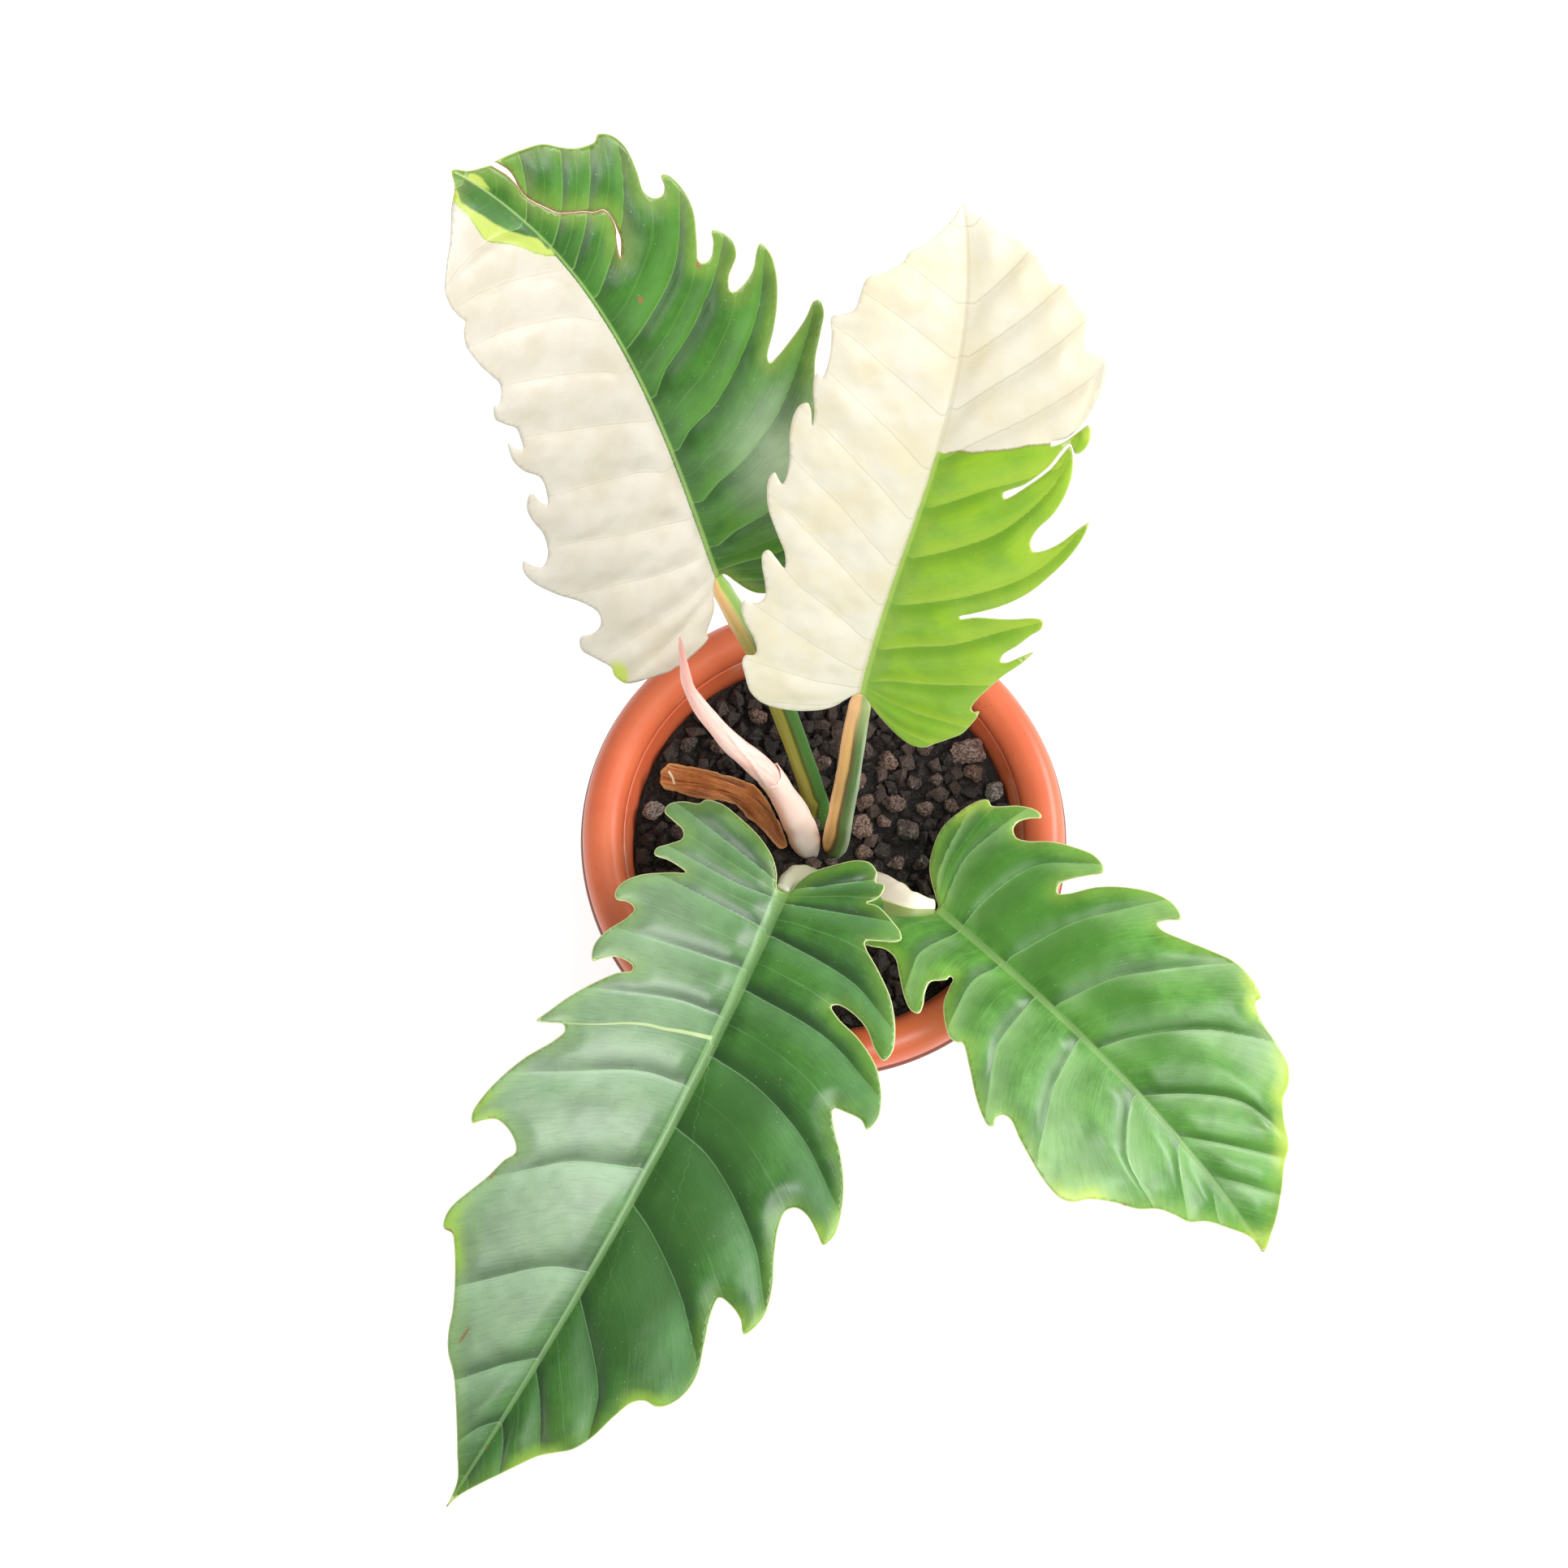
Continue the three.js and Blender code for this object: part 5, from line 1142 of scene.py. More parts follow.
made, tree, shader = new_material(
    "fleshy bud sheath, pink and cream", 0.4, IOR=1.42, Subsurface_Weight=0.12, Subsurface_Scale=0.003
)
fibre = streaked(tree, 5.0, 5.0)
side, up_share = (add(tree, "Attribute", out=2, attribute_name=key) for key in ("right", "share"))
skin = layered(
    tree, "#FFEFE6",
    (up_share, 0.15, 0.95, 1.0, "#FFDACE"),
    (fibre, 0.5, 0.75, 0.2, "#F8C8B8"),
    (side, -0.7, -1.0, 0.6, "#D98F55"),
    (up_share, 0.16, 0.03, 0.5, "#DDBB85"),
    (up_share, 1.0, 1.08, 1.0, "#F0BBA8"),
)
dress(tree, shader, skin, add(tree, "Math", fibre, 0.25, 0.28, **TIMES_PLUS), 0.4, 0.0003, fibre)
piece = tube("bud_sheath_skin", rings, share, right, rise, made, None, (0.35, 0.1))
finished(piece, ["bud_sheath"])

# %% [markdown]
# ## The dried sheath
# An old bud sheath has dried and dropped on the grit. It is brown, papery and fibrous, arched like a gutter
# turned over, with a pale torn slit at its far end. It is a filled outline like the leaves, but its shape
# comes from two numbers per point: how far it is along a bent centre line, and how far across it.

# %% The grit's level and the dried sheath's shape
GRIT_LEVEL = 118.0


def grit_level(x, y):
    """Height of the grit in millimetres: gentle heaps, a little higher at the plant."""
    heaps = 0.9 * np.sin(x * 0.21 + 1.3) * np.cos(y * 0.17 - 0.4) + 0.6 * np.sin(x * 0.09 - y * 0.13)
    return GRIT_LEVEL + heaps + 1.5 * np.exp(-(x * x + y * y) / 600)


DRIED_OUTLINE = [
    (-60.6, 20.8), (-60.9, 23.4), (-59.8, 26.6), (-57.2, 28.9), (-50, 27.9), (-43, 26.3), (-37.6, 24.8),
    (-31, 23), (-26, 20.8), (-22, 16), (-19, 11), (-16.6, 6), (-14.6, 1.4), (-13.4, -3.4), (-16.4, -3.6),
    (-20.4, 1), (-24.6, 5.6), (-29, 9.2), (-32, 12.6), (-37.6, 14.6), (-43.8, 15.4), (-50.8, 17.2),
    (-56.6, 19.4), (-58.8, 19.2),
]
DRIED_MIDDLE = [
    (-61, 24.4), (-50, 22.6), (-43, 20.8), (-36, 19), (-29, 15.6), (-23, 9.8), (-18.5, 3.2), (-14.6, -3.4),
]
SHEATH_LIFT = 1.2  # the sheath's middle lies this far above the grit's level
outline = smooth_line(DRIED_OUTLINE[::-1], True, 0.55)
outline += np.stack([ripple(outline, 2.4, 31.0), ripple(outline, 2.4, 57.0)], 1) * 0.55
flat, faces = fill(outline, 0.62, 0.3)
middle = smooth_line(DRIED_MIDDLE, False, 0.5)
reach = np.concatenate([[0], np.cumsum(np.linalg.norm(np.diff(middle, axis=0), axis=1))])
nearest = np.argmin(((flat[:, None] - middle[None]) ** 2).sum(-1), 1)
run = reach[nearest]
heading = np.gradient(middle, axis=0)[nearest]
heading /= np.linalg.norm(heading, axis=1)[:, None]
off = flat - middle[nearest]
across = heading[:, 0] * off[:, 1] - heading[:, 1] * off[:, 0]
edge = np.maximum(outline_distance(flat, outline), 0)
ridges = np.array([noise.noise(Vector((c * 1.25, r * 0.07, 2.2))) for c, r in zip(across, run)])
crease = np.exp(-(((across + 1.6 + 0.05 * run - 1.2 * np.sin(run / 11)) / 1.1) ** 2))
lift = 2.8 * (1 - np.clip(np.abs(across - 1) / 7.5, 0, 1) ** 2) - 1.5 * crease + 0.5 * ridges
curl = 1.6 * smooth01((9 - run) / 9) + 1.2 * smooth01((2.2 - edge) / 2.2) * (across > 0)
lift += curl + 0.7 * ripple(flat, 8, 4.4)
level = grit_level(flat[:, 0], flat[:, 1]) + SHEATH_LIFT + lift
half = 0.12 + 0.2 * smooth01(edge / 1.5)
points, faces = sheet(np.column_stack([flat, level + half]), np.column_stack([flat, level - half]), faces)
slit = zone(flat, [("line", [(-57.6, 25.6, 0.45), (-56.2, 23.6, 0.5), (-55.6, 21.6, 0.3)])])
numbers = {"along": run, "out": across, "edge": edge, "slit": slit}
numbers = {key: np.tile(values, 2) for key, values in numbers.items()}
print("dried sheath:", round(float(reach[-1]), 1), "mm along its middle")

# %% The dried sheath's finish
made, tree, shader = new_material("dried plant sheath, papery brown", 0.62, IOR=1.45)
along, out, rim, slit = (add(tree, "Attribute", out=2, attribute_name=key) for key in numbers)
drawn_out = add(tree, "Math", out, 2.9, **TIMES), add(tree, "Math", along, 0.06, **TIMES)
streak_at = add(tree, "CombineXYZ", *drawn_out)
fibre = add(tree, "TexNoise", {"Vector": streak_at, "Scale": 1.0, "Detail": 5.0, "Roughness": 0.65})
patch_at = add(tree, "CombineXYZ", along, out)
patches = add(tree, "TexNoise", {"Vector": patch_at, "Scale": 0.13, "Detail": 3.0, "Roughness": 0.55})
skin = layered(
    tree, "#A85C24",
    (patches, 0.3, 0.75, 1.0, "#D88440"),
    (fibre, 0.5, 0.6, 0.9, "#43200E"),
    (fibre, 0.44, 0.36, 0.65, "#DA9A56"),
    (out, 0.5, -5.0, 0.35, "#6A4030"),
    # painted shade: darker towards the end that runs under the bud sheath
    (along, 34.0, 52.0, 0.4, "#7A4A2A"),
    # painted highlight: a lighter orange rim along the edges
    (rim, 1.2, 0.2, 0.65, "#C9925C"),
    (slit, -0.1, 0.25, 1.0, "#E8D5B8"),
)
dress(tree, shader, skin, add(tree, "Math", fibre, 0.4, 0.35, **TIMES_PLUS), 0.8, 0.0005, fibre)
finished(mesh_object("dried_bract", points, faces, made, numbers), ["dried_sheath"])

# %% [markdown]
# ## The pot
# The pot is moulded polypropylene in a terracotta colour: a tapering wall under a thick rolled rim, with a
# ledge inside and six drain holes. A pot is one profile turned about an axis, so Geometry Nodes make it.
# The profile is a line of points, and the tree sweeps it round a circle, closes the poles and drills the
# holes. The sweep's circle has a radius of its own, which the profile is shifted back by, so that every
# point lands at its true radius.


# %% Geometry node helpers
def group_tree(name, inputs):
    """An empty geometry tree with its geometry sockets and named inputs (name, kind, value)."""
    tree = bpy.data.node_groups.new(name, "GeometryNodeTree")
    tree.interface.new_socket("Geometry", in_out="INPUT", socket_type="NodeSocketGeometry")
    tree.interface.new_socket("Geometry", in_out="OUTPUT", socket_type="NodeSocketGeometry")
    for label, kind, value in inputs:
        socket = tree.interface.new_socket(label, in_out="INPUT", socket_type="NodeSocket" + kind)
        socket.default_value = value
    return tree, tree.nodes.new("NodeGroupInput").outputs


def end_tree(tree, whole, material):
    """Ends a geometry tree: real geometry, then its material."""
    whole = add(tree, "GeometryNodeRealizeInstances", {"Geometry": whole})
    whole = add(tree, "GeometryNodeSetMaterial", {"Geometry": whole, "Material": material})
    tree.links.new(whole, tree.nodes.new("NodeGroupOutput").inputs[0])


def run_tree(host, tree, values, name):
    """Runs a geometry tree on an object with given inputs, and returns the result as a new plain mesh
    object."""
    modifier = host.modifiers.new(tree.name, "NODES")
    modifier.node_group = tree
    for item in tree.interface.items_tree:
        if item.in_out == "INPUT" and item.name in values:
            modifier[item.identifier] = values[item.name]
    seen = host.evaluated_get(bpy.context.evaluated_depsgraph_get())
    mesh = bpy.data.meshes.new_from_object(seen)
    mesh.name = name
    made = bpy.data.objects.new(name, mesh)
    bpy.context.scene.collection.objects.link(made)
    host.modifiers.remove(modifier)
    return made


# %% Pot profile
def rounded(points, radius, turns=5):
    """A line through points with its corners rounded by small arcs."""
    p = np.array(points, float)
    made = [p[0]]
    for before, at, after in zip(p, p[1:], p[2:]):
        one, two = before - at, after - at
        r = min(radius, np.linalg.norm(one) * 0.45, np.linalg.norm(two) * 0.45)
        start, end = at + one / np.linalg.norm(one) * r, at + two / np.linalg.norm(two) * r
        for k in np.linspace(0, 1, turns):
            made.append((1 - k) ** 2 * start + 2 * k * (1 - k) * at + k * k * end)
    return made + [p[-1]]


OUTSIDE_LINE = [
    (0, 0), (58.5, 0), (60, 1.5), (75.2, 118.5), (76.4, 120.2), (87.6, 122.2), (90, 123.2), (90, 124.8),
    (89, 126),
]
INSIDE_LINE = [(73.6, 125.4), (73.1, 123.6), (71.2, 117), (57.2, 5.5), (55.7, 4), (0, 4)]
ROLL_RADIUS, ROLL_AT = 7.6, (81.5, 127.4)  # the rolled rim and its centre
SWEEP_RADIUS = 200.0
LONGEST = 9  # millimetres between two points of the profile
rim_turns = np.linspace(-0.02, 1.07, 30) * math.pi
rim_line = [ROLL_AT + ROLL_RADIUS * np.array([math.cos(t), math.sin(t)]) for t in rim_turns]
corners = np.array(rounded(OUTSIDE_LINE, 1.0) + rim_line + rounded(INSIDE_LINE, 0.8))
profile = [corners[0]]
for start, end in zip(corners, corners[1:]):
    parts = max(1, math.ceil(np.linalg.norm(end - start) / LONGEST))
    profile += [start + (end - start) * k / parts for k in range(1, parts + 1)]
profile = np.array(profile)[::-1]
line_points = np.column_stack([profile[:, 0] - SWEEP_RADIUS, -profile[:, 1], np.zeros(len(profile))]) * MM
line = bpy.data.meshes.new("pot profile")
line.from_pydata(line_points.tolist(), [(i, i + 1) for i in range(len(profile) - 1)], [])
pot_host = bpy.data.objects.new("pot profile", line)
bpy.context.scene.collection.objects.link(pot_host)
print("pot profile:", len(profile), "points")

# %% Pot finish
made, tree, shader = new_material(
    "moulded polypropylene, terracotta", 0.42, IOR=1.49, Coat_Weight=0.12, Coat_Roughness=0.2
)
place = add(tree, "TexCoord", out=3)
x, y, z = add(tree, "SeparateXYZ", place).node.outputs
radius = add(tree, "VectorMath", add(tree, "CombineXYZ", x, y), operation="LENGTH")
turned_at = [add(tree, "Math", value, 900.0, **TIMES) for value in (radius, z)]
turned_at = add(tree, "CombineXYZ", *turned_at)
turned = add(tree, "TexNoise", {"Vector": turned_at, "Scale": 1.0, "Detail": 2.0, "Roughness": 0.5})
clouds = add(tree, "TexNoise", {"Vector": place, "Scale": 22.0, "Detail": 4.0, "Roughness": 0.6})
grain = add(tree, "TexNoise", {"Vector": place, "Scale": 1400.0, "Detail": 2.0, "Roughness": 0.5})
specks = add(tree, "TexVoronoi", {"Vector": place, "Scale": 210.0})
# painted shade: the walls below the rim, inside and out, are darker
painted_wall_shade = mask(tree, (z, 0.121, 0.112), (radius, 0.055, 0.057))
# painted shade: a dark band on the lip under the rolled rim
painted_lip_shade = mask(tree, (z, 0.1268, 0.1256), (radius, 0.0872, 0.0884), most=0.8)
ledge = (radius, 0.0748, 0.0738), (radius, 0.0722, 0.0732), (z, 0.119, 0.121)
skin = layered(
    tree, "#D4643E",
    (clouds, 0.35, 0.65, 1.0, "#DC7048"),
    (turned, 0.5, 0.75, 0.14, "#E58A66"),
    (painted_wall_shade, "#A24A30"),
    (painted_lip_shade, "#5E2418"),
    (mask(tree, *ledge, (clouds, 0.47, 0.58), most=0.5), "#E3A68C"),
    (specks, 0.09, 0.05, 0.5, "#7A3A28"),
)
height = add(tree, "Math", turned, 0.5, add(tree, "Math", grain, 0.3, **TIMES), **TIMES_PLUS)
dress(tree, shader, skin, add(tree, "Math", clouds, 0.2, 0.32, **TIMES_PLUS), 0.12, 0.0003, height)
terracotta = made

# %% The pot's tree
tree, given = group_tree("Turned pot", [
    ("Segments", "Int", 176), ("Sweep radius", "Float", 0.2), ("Drain holes", "Int", 6),
    ("Hole radius", "Float", 0.0045), ("Hole circle", "Float", 0.038),
])
profile_curve = add(tree, "GeometryNodeMeshToCurve", given["Geometry"])
circle = {"Resolution": given["Segments"], "Radius": given["Sweep radius"]}
circle = add(tree, "GeometryNodeCurvePrimitiveCircle", circle)
wall = add(tree, "GeometryNodeCurveToMesh", {"Curve": circle, "Profile Curve": profile_curve})
wall = add(tree, "GeometryNodeMergeByDistance", {"Geometry": wall, "Distance": 1e-5})
ring = {"Vertices": given["Drain holes"], "Radius": given["Hole circle"]}
ring = add(tree, "GeometryNodeMeshCircle", ring)
ring = add(tree, "GeometryNodeTransform", {"Geometry": ring, "Rotation": (0.0, 0.0, math.pi / 6)})
drill = {"Vertices": 32, "Radius": given["Hole radius"], "Depth": 0.02}
drill = add(tree, "GeometryNodeMeshCylinder", drill)
drills = add(tree, "GeometryNodeInstanceOnPoints", {"Points": ring, "Instance": drill})
drills = add(tree, "GeometryNodeRealizeInstances", {"Geometry": drills})
solids = {"Mesh 1": wall, "Mesh 2": drills}
drilled = add(tree, "GeometryNodeMeshBoolean", solids, operation="DIFFERENCE", solver="EXACT")
end_tree(tree, drilled, terracotta)
piece = run_tree(pot_host, tree, {"Segments": 176, "Sweep radius": SWEEP_RADIUS * MM}, "pot_shell")
bpy.data.objects.remove(pot_host)
piece.data.polygons.foreach_set("use_smooth", [True] * len(piece.data.polygons))
piece.data.set_sharp_from_angle(angle=math.radians(35))
print("pot:", [round(v * 1000, 1) for v in piece.dimensions])
finished(piece, ["pot"])

# %% [markdown]
# ## Lava grit
# The plant grows in crushed lava: dark, porous grains of 4 to 12 mm with rusty and grey ones among them.
# The grit has three parts. The bed is a closed bumpy plug that fills the pot. On it lie two layers of
# grains from one Geometry Nodes tree, small ones deeper down and bigger ones on top. The tree scatters
# points no closer than a set distance, puts a rough ball on each, turns and squashes it by chance, and
# pushes every grain's surface with noise so that no two are alike. The largest stones, which can be told
# apart from above, are made one by one at their own places.

# %% Grit finish
made, tree, shader = new_material("crushed lava rock", 0.85, IOR=1.5)
place = add(tree, "TexCoord", out=3)
tint, hollow = (add(tree, "Attribute", out=2, attribute_name=key) for key in ("tint", "hollow"))
fine = add(tree, "TexNoise", {"Vector": place, "Scale": 900.0, "Detail": 4.0, "Roughness": 0.7})
lumps = add(tree, "TexNoise", {"Vector": place, "Scale": 260.0, "Detail": 3.0, "Roughness": 0.6})
pits = add(tree, "TexVoronoi", {"Vector": place, "Scale": 950.0})
skin = layered(
    tree, "#0F0D0C",
    (tint, 0.0, 0.45, 1.0, "#4A3F3A"),
    (tint, 0.4, 0.8, 1.0, "#715548"),
    (tint, 0.8, 1.0, 1.0, "#987C72"),
    (tint, 1.05, 1.3, 1.0, "#8A827C"),
    (lumps, 0.45, 0.7, 0.4, "#7A655C"),
    (fine, 0.52, 0.68, 0.55, "#B4A399"),
    (pits, 0.34, 0.14, 0.75, "#15100F"),
    # painted shade: near black in the pores of the large stones and over the whole bed, which shows only in
    # the gaps between the grains
    (hollow, 0.1, 1.0, 0.75, "#17120F"),
)
height = add(tree, "Math", lumps, 1.2, add(tree, "Math", fine, 0.6, **TIMES), **TIMES_PLUS)
height = add(tree, "Math", height, mask(tree, (pits, 0.1, 0.35), most=0.4))
dress(tree, shader, skin, add(tree, "Math", fine, 0.3, 0.68, **TIMES_PLUS), 1.0, 0.0012, height)
lava = made

# %% The large stones: place, half width, half depth and half height in millimetres, and tint
STONES = [
    (14.3, 5.2, 4.4, 5, 4, 0.85), (13.4, 22.6, 3.6, 4.2, 3.4, 0.7), (15.6, 14.4, 3.9, 3.4, 3.2, 0.7),
    (24, 31, 4.2, 3.9, 3.4, 0.85), (54, 35, 7.2, 5.2, 4.8, 0.98), (56, 25.8, 4, 3.6, 3.4, 0.8),
    (63.8, 19.6, 3.6, 4.4, 3.2, 1.3), (26.4, 14.2, 4.7, 3.5, 3.3, 0.6), (38, 12.6, 3.9, 3.3, 3.2, 0.6),
    (31, 3.4, 4.6, 4.8, 3.4, 0.35), (22.4, 7.2, 3, 3, 2.6, 0.7), (41.6, 23.6, 3.2, 3, 2.8, 0.5),
    (33.6, 22.6, 3.3, 2.9, 2.8, 0.5), (15.2, -5, 3.6, 3.3, 3, 0.75), (26.6, -8.4, 3.5, 2.9, 2.8, 0.6),
    (36.4, -8.6, 3.4, 3.6, 3, 0.3), (-3.6, -8.8, 3.2, 2.6, 2.6, 0.6), (-3.2, 6.2, 2.6, 2.2, 2.4, 0.6),
    (2.7, -8.9, 2.6, 2, 2.2, 0.5), (0.2, 29.8, 3.6, 3.3, 2.9, 0.6), (16.4, 35.4, 3.4, 3.7, 3, 0.5),
    (38.4, 36, 3.5, 3.2, 2.9, 0.55), (-63.2, 11.4, 4.4, 4.2, 3.6, 1.2), (-53.6, 3.2, 3.3, 3.3, 2.8, 0.5),
    (-59.8, -4.4, 3.3, 3, 2.8, 0.6), (-24.6, 48.6, 3.8, 3.4, 3, 0.8), (-38.6, 37, 4, 3.6, 3.2, 0.6),
    (-50.8, 37.6, 3.8, 3.6, 3, 0.4), (48, 13.8, 3.2, 3.2, 2.8, 0.6),
]


def ball(rounds):
    """Unit ball of triangles, split again a number of times."""
    mesh = bmesh.new()
    bmesh.ops.create_icosphere(mesh, subdivisions=rounds, radius=1.0)
    points = np.array([v.co[:] for v in mesh.verts])
    faces = [[v.index for v in f.verts] for f in mesh.faces]
    mesh.free()
    return points, faces


FACETS = 9  # flat sides that each stone is broken to
ball_points, ball_faces = ball(4)
for i, (x, y, wide, deep, high, tint) in enumerate(STONES):
    rng = np.random.default_rng(40 + i)
    planes = rng.normal(size=(FACETS, 3))
    planes /= np.linalg.norm(planes, axis=1)[:, None]
    limits = rng.uniform(0.52, 0.92, FACETS)
    reach = np.where(ball_points @ planes.T > 0.05, limits / np.maximum(ball_points @ planes.T, 0.05), 9)
    radius = -np.log(np.exp(-45 * np.minimum(reach, 1.15)).sum(1) + np.exp(-45 * 1.05)) / 45 + 0.04
    rough = np.array([noise.noise(Vector(p * 2.2 + i)) for p in ball_points])
    holes = np.array([noise.noise(Vector(p * 6.5 + 2 * i)) for p in ball_points])
    holes = np.maximum(holes, np.array([noise.noise(Vector(p * 11 + 3 * i)) for p in ball_points]) - 0.06)
    hollow = smooth01((holes - 0.08) / 0.25)
    shape = ball_points * (radius + 0.17 * rough - 0.1 * hollow)[:, None]
    shape *= np.array([wide, deep, high]) / np.abs(shape).max(0)
    shape += (x, y, float(grit_level(np.array(x), np.array(y))) + 0.3 * high)
    numbers = {"tint": np.full(len(shape), tint), "hollow": hollow}
    piece = mesh_object(f"lava_stone_{i + 1:02d}", shape, ball_faces, lava, numbers)
    finished(piece, [f"surface_stone_{i + 1:02d}"])

# %% The bed under the grains
BED_RINGS, BED_SPOKES = 44, 168
BED_DROP = 3.4  # the bed's top lies this far below the tops of the grains
BED_WALL = [(70.4, 100.0), (57.0, 7.0), (56.4, 5.2)]  # radius and height of the rings down its side
STALK_FEET = ((4.2, -1.8, 7), (-2.2, 12.6, 6.5), (-1.6, -14.9, 6), (7.8, -15.6, 6), (-5.8, -1.4, 7))
spokes = np.linspace(0, 2 * math.pi, BED_SPOKES, endpoint=False)
bed = [(0.0, 0.0)]
bed += [(q * math.cos(t), q * math.sin(t)) for q in np.linspace(1.6, 70.6, BED_RINGS) for t in spokes]
bed = np.array(bed)
bed_z = grit_level(bed[:, 0], bed[:, 1]) - BED_DROP + 0.7 * ripple(bed, 2.6, 1.5)
points = [(x, y, z) for (x, y), z in zip(bed, bed_z)]
for q, z in BED_WALL:
    points += [(q * math.cos(t), q * math.sin(t), z) for t in spokes]
points = np.array(points + [(0.0, 0.0, BED_WALL[-1][1])])
faces = [(0, 1 + j, 1 + (j + 1) % BED_SPOKES) for j in range(BED_SPOKES)]
for i in range(BED_RINGS - 1 + len(BED_WALL)):
    for j in range(BED_SPOKES):
        k = (j + 1) % BED_SPOKES
        a, b = 1 + i * BED_SPOKES, 1 + (i + 1) * BED_SPOKES
        faces.append((a + j, b + j, b + k, a + k))
last = 1 + (BED_RINGS - 1 + len(BED_WALL)) * BED_SPOKES
faces += [(last + (j + 1) % BED_SPOKES, last + j, len(points) - 1) for j in range(BED_SPOKES)]

# %% Where grains may lie: not at the wall, under a large stone or in a stalk
xy = points[:, :2]
room = 1 - smooth01((np.hypot(*xy.T) - 67.6) / 0.8)
for x, y, wide, deep, high, tint in STONES:
    room *= smooth01((np.hypot((xy[:, 0] - x) / (wide + 1.2), (xy[:, 1] - y) / (deep + 1.2)) - 0.9) / 0.25)
for x, y, wide in STALK_FEET:
    room *= smooth01((np.hypot(xy[:, 0] - x, xy[:, 1] - y) - wide) / 1.5)
room[points[:, 2] < 110] = 0
sink = 1.5 * smooth01((outline_distance(xy, outline) + 3) / 3)  # under the dried sheath
numbers = {"room": room, "sink": sink * MM}
# the bed counts as all hollow, so it is painted near black as the shade between the grains
numbers |= {"tint": np.full(len(points), 0.0), "hollow": np.full(len(points), 1.0)}
bed_piece = mesh_object("grit_plug", points, faces, lava, numbers)
finished(bed_piece, ["grit_bed"])

# %% The grain tree
tree, given = group_tree("Grit grains", [
    ("Spacing", "Float", 0.005), ("Grain width", "Float", 0.006), ("Height", "Float", 0.001),
    ("Seed", "Int", 3), ("Darkest", "Float", 0.1), ("Palest", "Float", 0.8),
])
room_there, sink_there = (
    add(tree, "GeometryNodeInputNamedAttribute", {"Name": name}, data_type="FLOAT")
    for name in ("room", "sink")
)
spots = {"Mesh": given["Geometry"], "Distance Min": given["Spacing"], "Density Max": 400000.0}
spots |= {"Density Factor": room_there, "Seed": given["Seed"]}
spots = add(tree, "GeometryNodeDistributePointsOnFaces", spots, distribute_method="POISSON")
jitter = {"Min": -0.0006, "Max": 0.0006, "Seed": 11}
jitter = add(tree, "FunctionNodeRandomValue", jitter, data_type="FLOAT")
height = add(tree, "Math", given["Height"], sink_there, operation="SUBTRACT")
raised = add(tree, "CombineXYZ", {2: add(tree, "Math", height, jitter)})
lifted = add(tree, "GeometryNodeSetPosition", {"Geometry": spots, "Offset": raised})
seed_ball = add(tree, "GeometryNodeMeshIcoSphere", {"Radius": 0.5, "Subdivisions": 1})
turn = {"Min": (0, 0, 0), "Max": (6.3, 6.3, 6.3), "Seed": 12}
turn = add(tree, "FunctionNodeRandomValue", turn, data_type="FLOAT_VECTOR")
size = {"Min": (0.8, 0.66, 0.6), "Max": (1.3, 1.1, 0.9), "Seed": 13}
size = add(tree, "FunctionNodeRandomValue", size, data_type="FLOAT_VECTOR")
size = add(tree, "VectorMath", {0: size, "Scale": given["Grain width"]}, operation="SCALE")
grains = {"Points": lifted, "Instance": seed_ball, "Rotation": turn, "Scale": size}
grains = add(tree, "GeometryNodeInstanceOnPoints", grains)
tint = {"Min": given["Darkest"], "Max": given["Palest"], "Seed": 14}
tint = add(tree, "FunctionNodeRandomValue", tint, data_type="FLOAT")
grains = {"Geometry": grains, "Name": "tint", "Value": tint}
grains = add(tree, "GeometryNodeStoreNamedAttribute", grains, data_type="FLOAT", domain="INSTANCE")
whole = add(tree, "GeometryNodeRealizeInstances", {"Geometry": grains})
push = add(tree, "TexNoise", {"Scale": 400.0, "Detail": 2.0}, out=1)
push = add(tree, "VectorMath", push, (0.5, 0.5, 0.5), operation="SUBTRACT")
push_by = add(tree, "Math", given["Grain width"], 1.15, **TIMES)
push = add(tree, "VectorMath", {0: push, "Scale": push_by}, operation="SCALE")
whole = add(tree, "GeometryNodeSetPosition", {"Geometry": whole, "Offset": push})
whole = add(tree, "GeometryNodeSetShadeSmooth", {"Geometry": whole, "Shade Smooth": False})
end_tree(tree, whole, lava)

GRAIN_LAYERS = {
    "lava_grains_top": {
        "Spacing": 0.0055, "Grain width": 0.007, "Height": 0.0024, "Seed": 3, "Darkest": 0.15, "Palest": 1.0,
    },
    # painted shade: the deep layer's grains run darker than the top ones
    "lava_grains_deep": {
        "Spacing": 0.0037, "Grain width": 0.0052, "Height": 0.0011, "Seed": 8, "Darkest": 0.0, "Palest": 0.8,
    },
}
for name, values in GRAIN_LAYERS.items():
    finished(run_tree(bed_piece, tree, values, name), ["grit_bed"])

# %% [markdown]
# ## The crown
# The stalks rise from a short stem that the grit covers. Its shape in the technical model is right as it
# is, so the model's own piece stays and only gets the look of a corky, ringed stem.

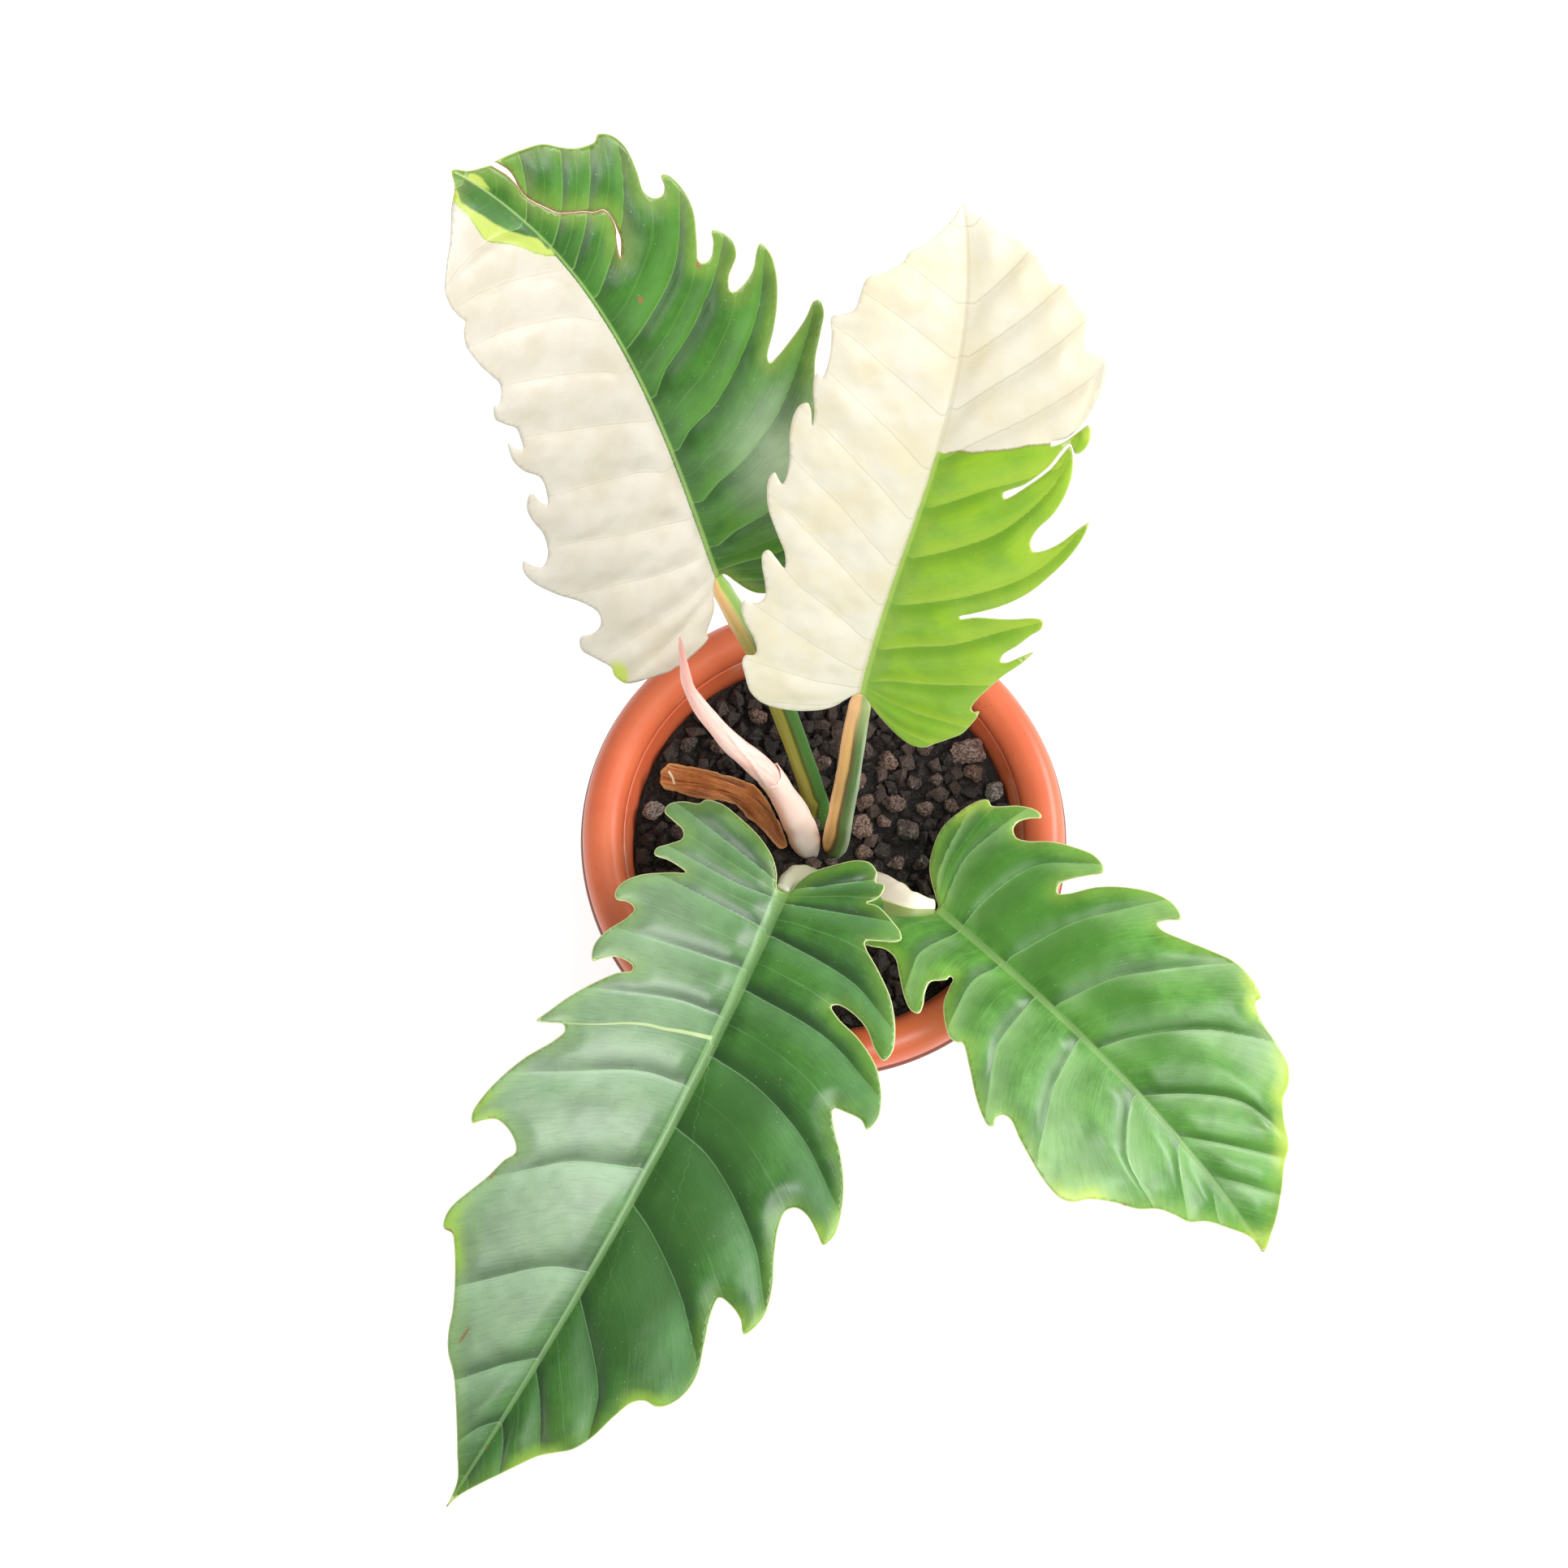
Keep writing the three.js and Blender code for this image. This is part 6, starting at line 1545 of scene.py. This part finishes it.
# %% Crown finish
made, tree, shader = new_material("corky young stem", 0.7, IOR=1.45)
place = add(tree, "TexCoord", out=3)
cork = add(tree, "TexNoise", {"Vector": place, "Scale": 350.0, "Detail": 4.0, "Roughness": 0.6})
scars = add(tree, "TexWave", {"Vector": place, "Scale": 90.0, "Distortion": 3.0}, bands_direction="Z")
skin = layered(tree, "#6F7A3C", (cork, 0.4, 0.65, 1.0, "#9A7B4C"), (scars, 0.6, 0.9, 0.5, "#5C4128"))
dress(tree, shader, skin, None, 0.8, 0.0006, cork)
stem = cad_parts["crown"]
for slot in stem.material_slots:
    slot.material = made
print("crown:", len(stem.material_slots), "material slot")

# %% [markdown]
# ## Floor, light and camera
# The plant stands in a bright white sweep, like a product shot. A big soft lamp high at the right and a
# weaker one high at the front give the long sheen on the front leaves, and a small one at the side lights
# the pot's right. A white room fills the rest. The camera looks down steeply from the front with a 75 mm
# lens, a short telephoto that keeps the tall leaves from swelling towards it.

# %% Floor
FLOOR_HALF = 3  # metres from the middle of the floor to its sides
FLOOR_GLOW = 0.74  # a little light of its own keeps the sweep white behind the plant
made, tree, shader = new_material("white matt paper", 0.9)
paper = add(tree, "TexNoise", {"Vector": add(tree, "TexCoord", out=3), "Scale": 300.0, "Detail": 2.0})
tree.links.new(add(tree, "Mix", paper, "#CFCFCF", "#D3D3D3", **COLOURS), shader.inputs["Base Color"])
shader.inputs["Emission Color"].default_value = (1.0, 1.0, 1.0, 1.0)
shader.inputs["Emission Strength"].default_value = FLOOR_GLOW
corners = [(x * FLOOR_HALF, y * FLOOR_HALF, 0) for x, y in ((-1, -1), (1, -1), (1, 1), (-1, 1))]
paper_mesh = bpy.data.meshes.new("floor")
paper_mesh.from_pydata(corners, [], [(0, 1, 2, 3)])
paper_mesh.materials.append(made)
floor = bpy.data.objects.new("floor", paper_mesh)
bpy.context.scene.collection.objects.link(floor)
floor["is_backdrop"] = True

# %% Light
world = bpy.data.worlds.new("white room")
world.use_nodes = True
world.node_tree.nodes["Background"].inputs["Color"].default_value = (1.0, 1.0, 1.0, 1.0)
world.node_tree.nodes["Background"].inputs["Strength"].default_value = 0.4
bpy.context.scene.world = world
LIT = (0, 0, 0.15)  # the point that every lamp is turned to


def soft_lamp(name, place, size, power):
    """A square soft lamp at a place, in metres and watts."""
    lamp = bpy.data.lights.new(name, "AREA")
    lamp.shape, lamp.size, lamp.energy = "SQUARE", size, power
    made = bpy.data.objects.new(name, lamp)
    made.location = place
    made.rotation_euler = (Vector(LIT) - Vector(place)).to_track_quat("-Z", "Y").to_euler()
    bpy.context.scene.collection.objects.link(made)


soft_lamp("key", (1.0, -0.8, 3.75), 1.7, 92)
soft_lamp("front", (0.1, -2.5, 3.1), 1.5, 28)
soft_lamp("side", (2.4, 0.9, 1.5), 1.2, 60)

# %% Camera
CAMERA_AIM = Vector((-14.67, 17.56, 135.0)) * MM
CAMERA_FAR = 1204.8 * MM
CAMERA_RISE = math.radians(74.76)
lens = bpy.data.cameras.new("camera")
lens.lens, lens.sensor_width, lens.sensor_fit, lens.clip_start = 75.0, 36.0, "HORIZONTAL", 0.05
camera = bpy.data.objects.new("camera", lens)
camera.location = CAMERA_AIM + Vector((0, -math.cos(CAMERA_RISE), math.sin(CAMERA_RISE))) * CAMERA_FAR
camera.rotation_euler = (math.pi / 2 - CAMERA_RISE, 0, 0)
bpy.context.scene.collection.objects.link(camera)
bpy.context.scene.camera = camera
bpy.context.scene.view_settings.view_transform = "Standard"

# %% [markdown]
# The last cell prints the finished plant's box and the technical model's box, because looks must not
# change sizes.

# %% Sizes and finish
looks_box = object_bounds()
for label, box in (("model", cad_box), ("looks", looks_box)):
    print(label, [[round(v * 1000, 1) for v in c] for c in box])
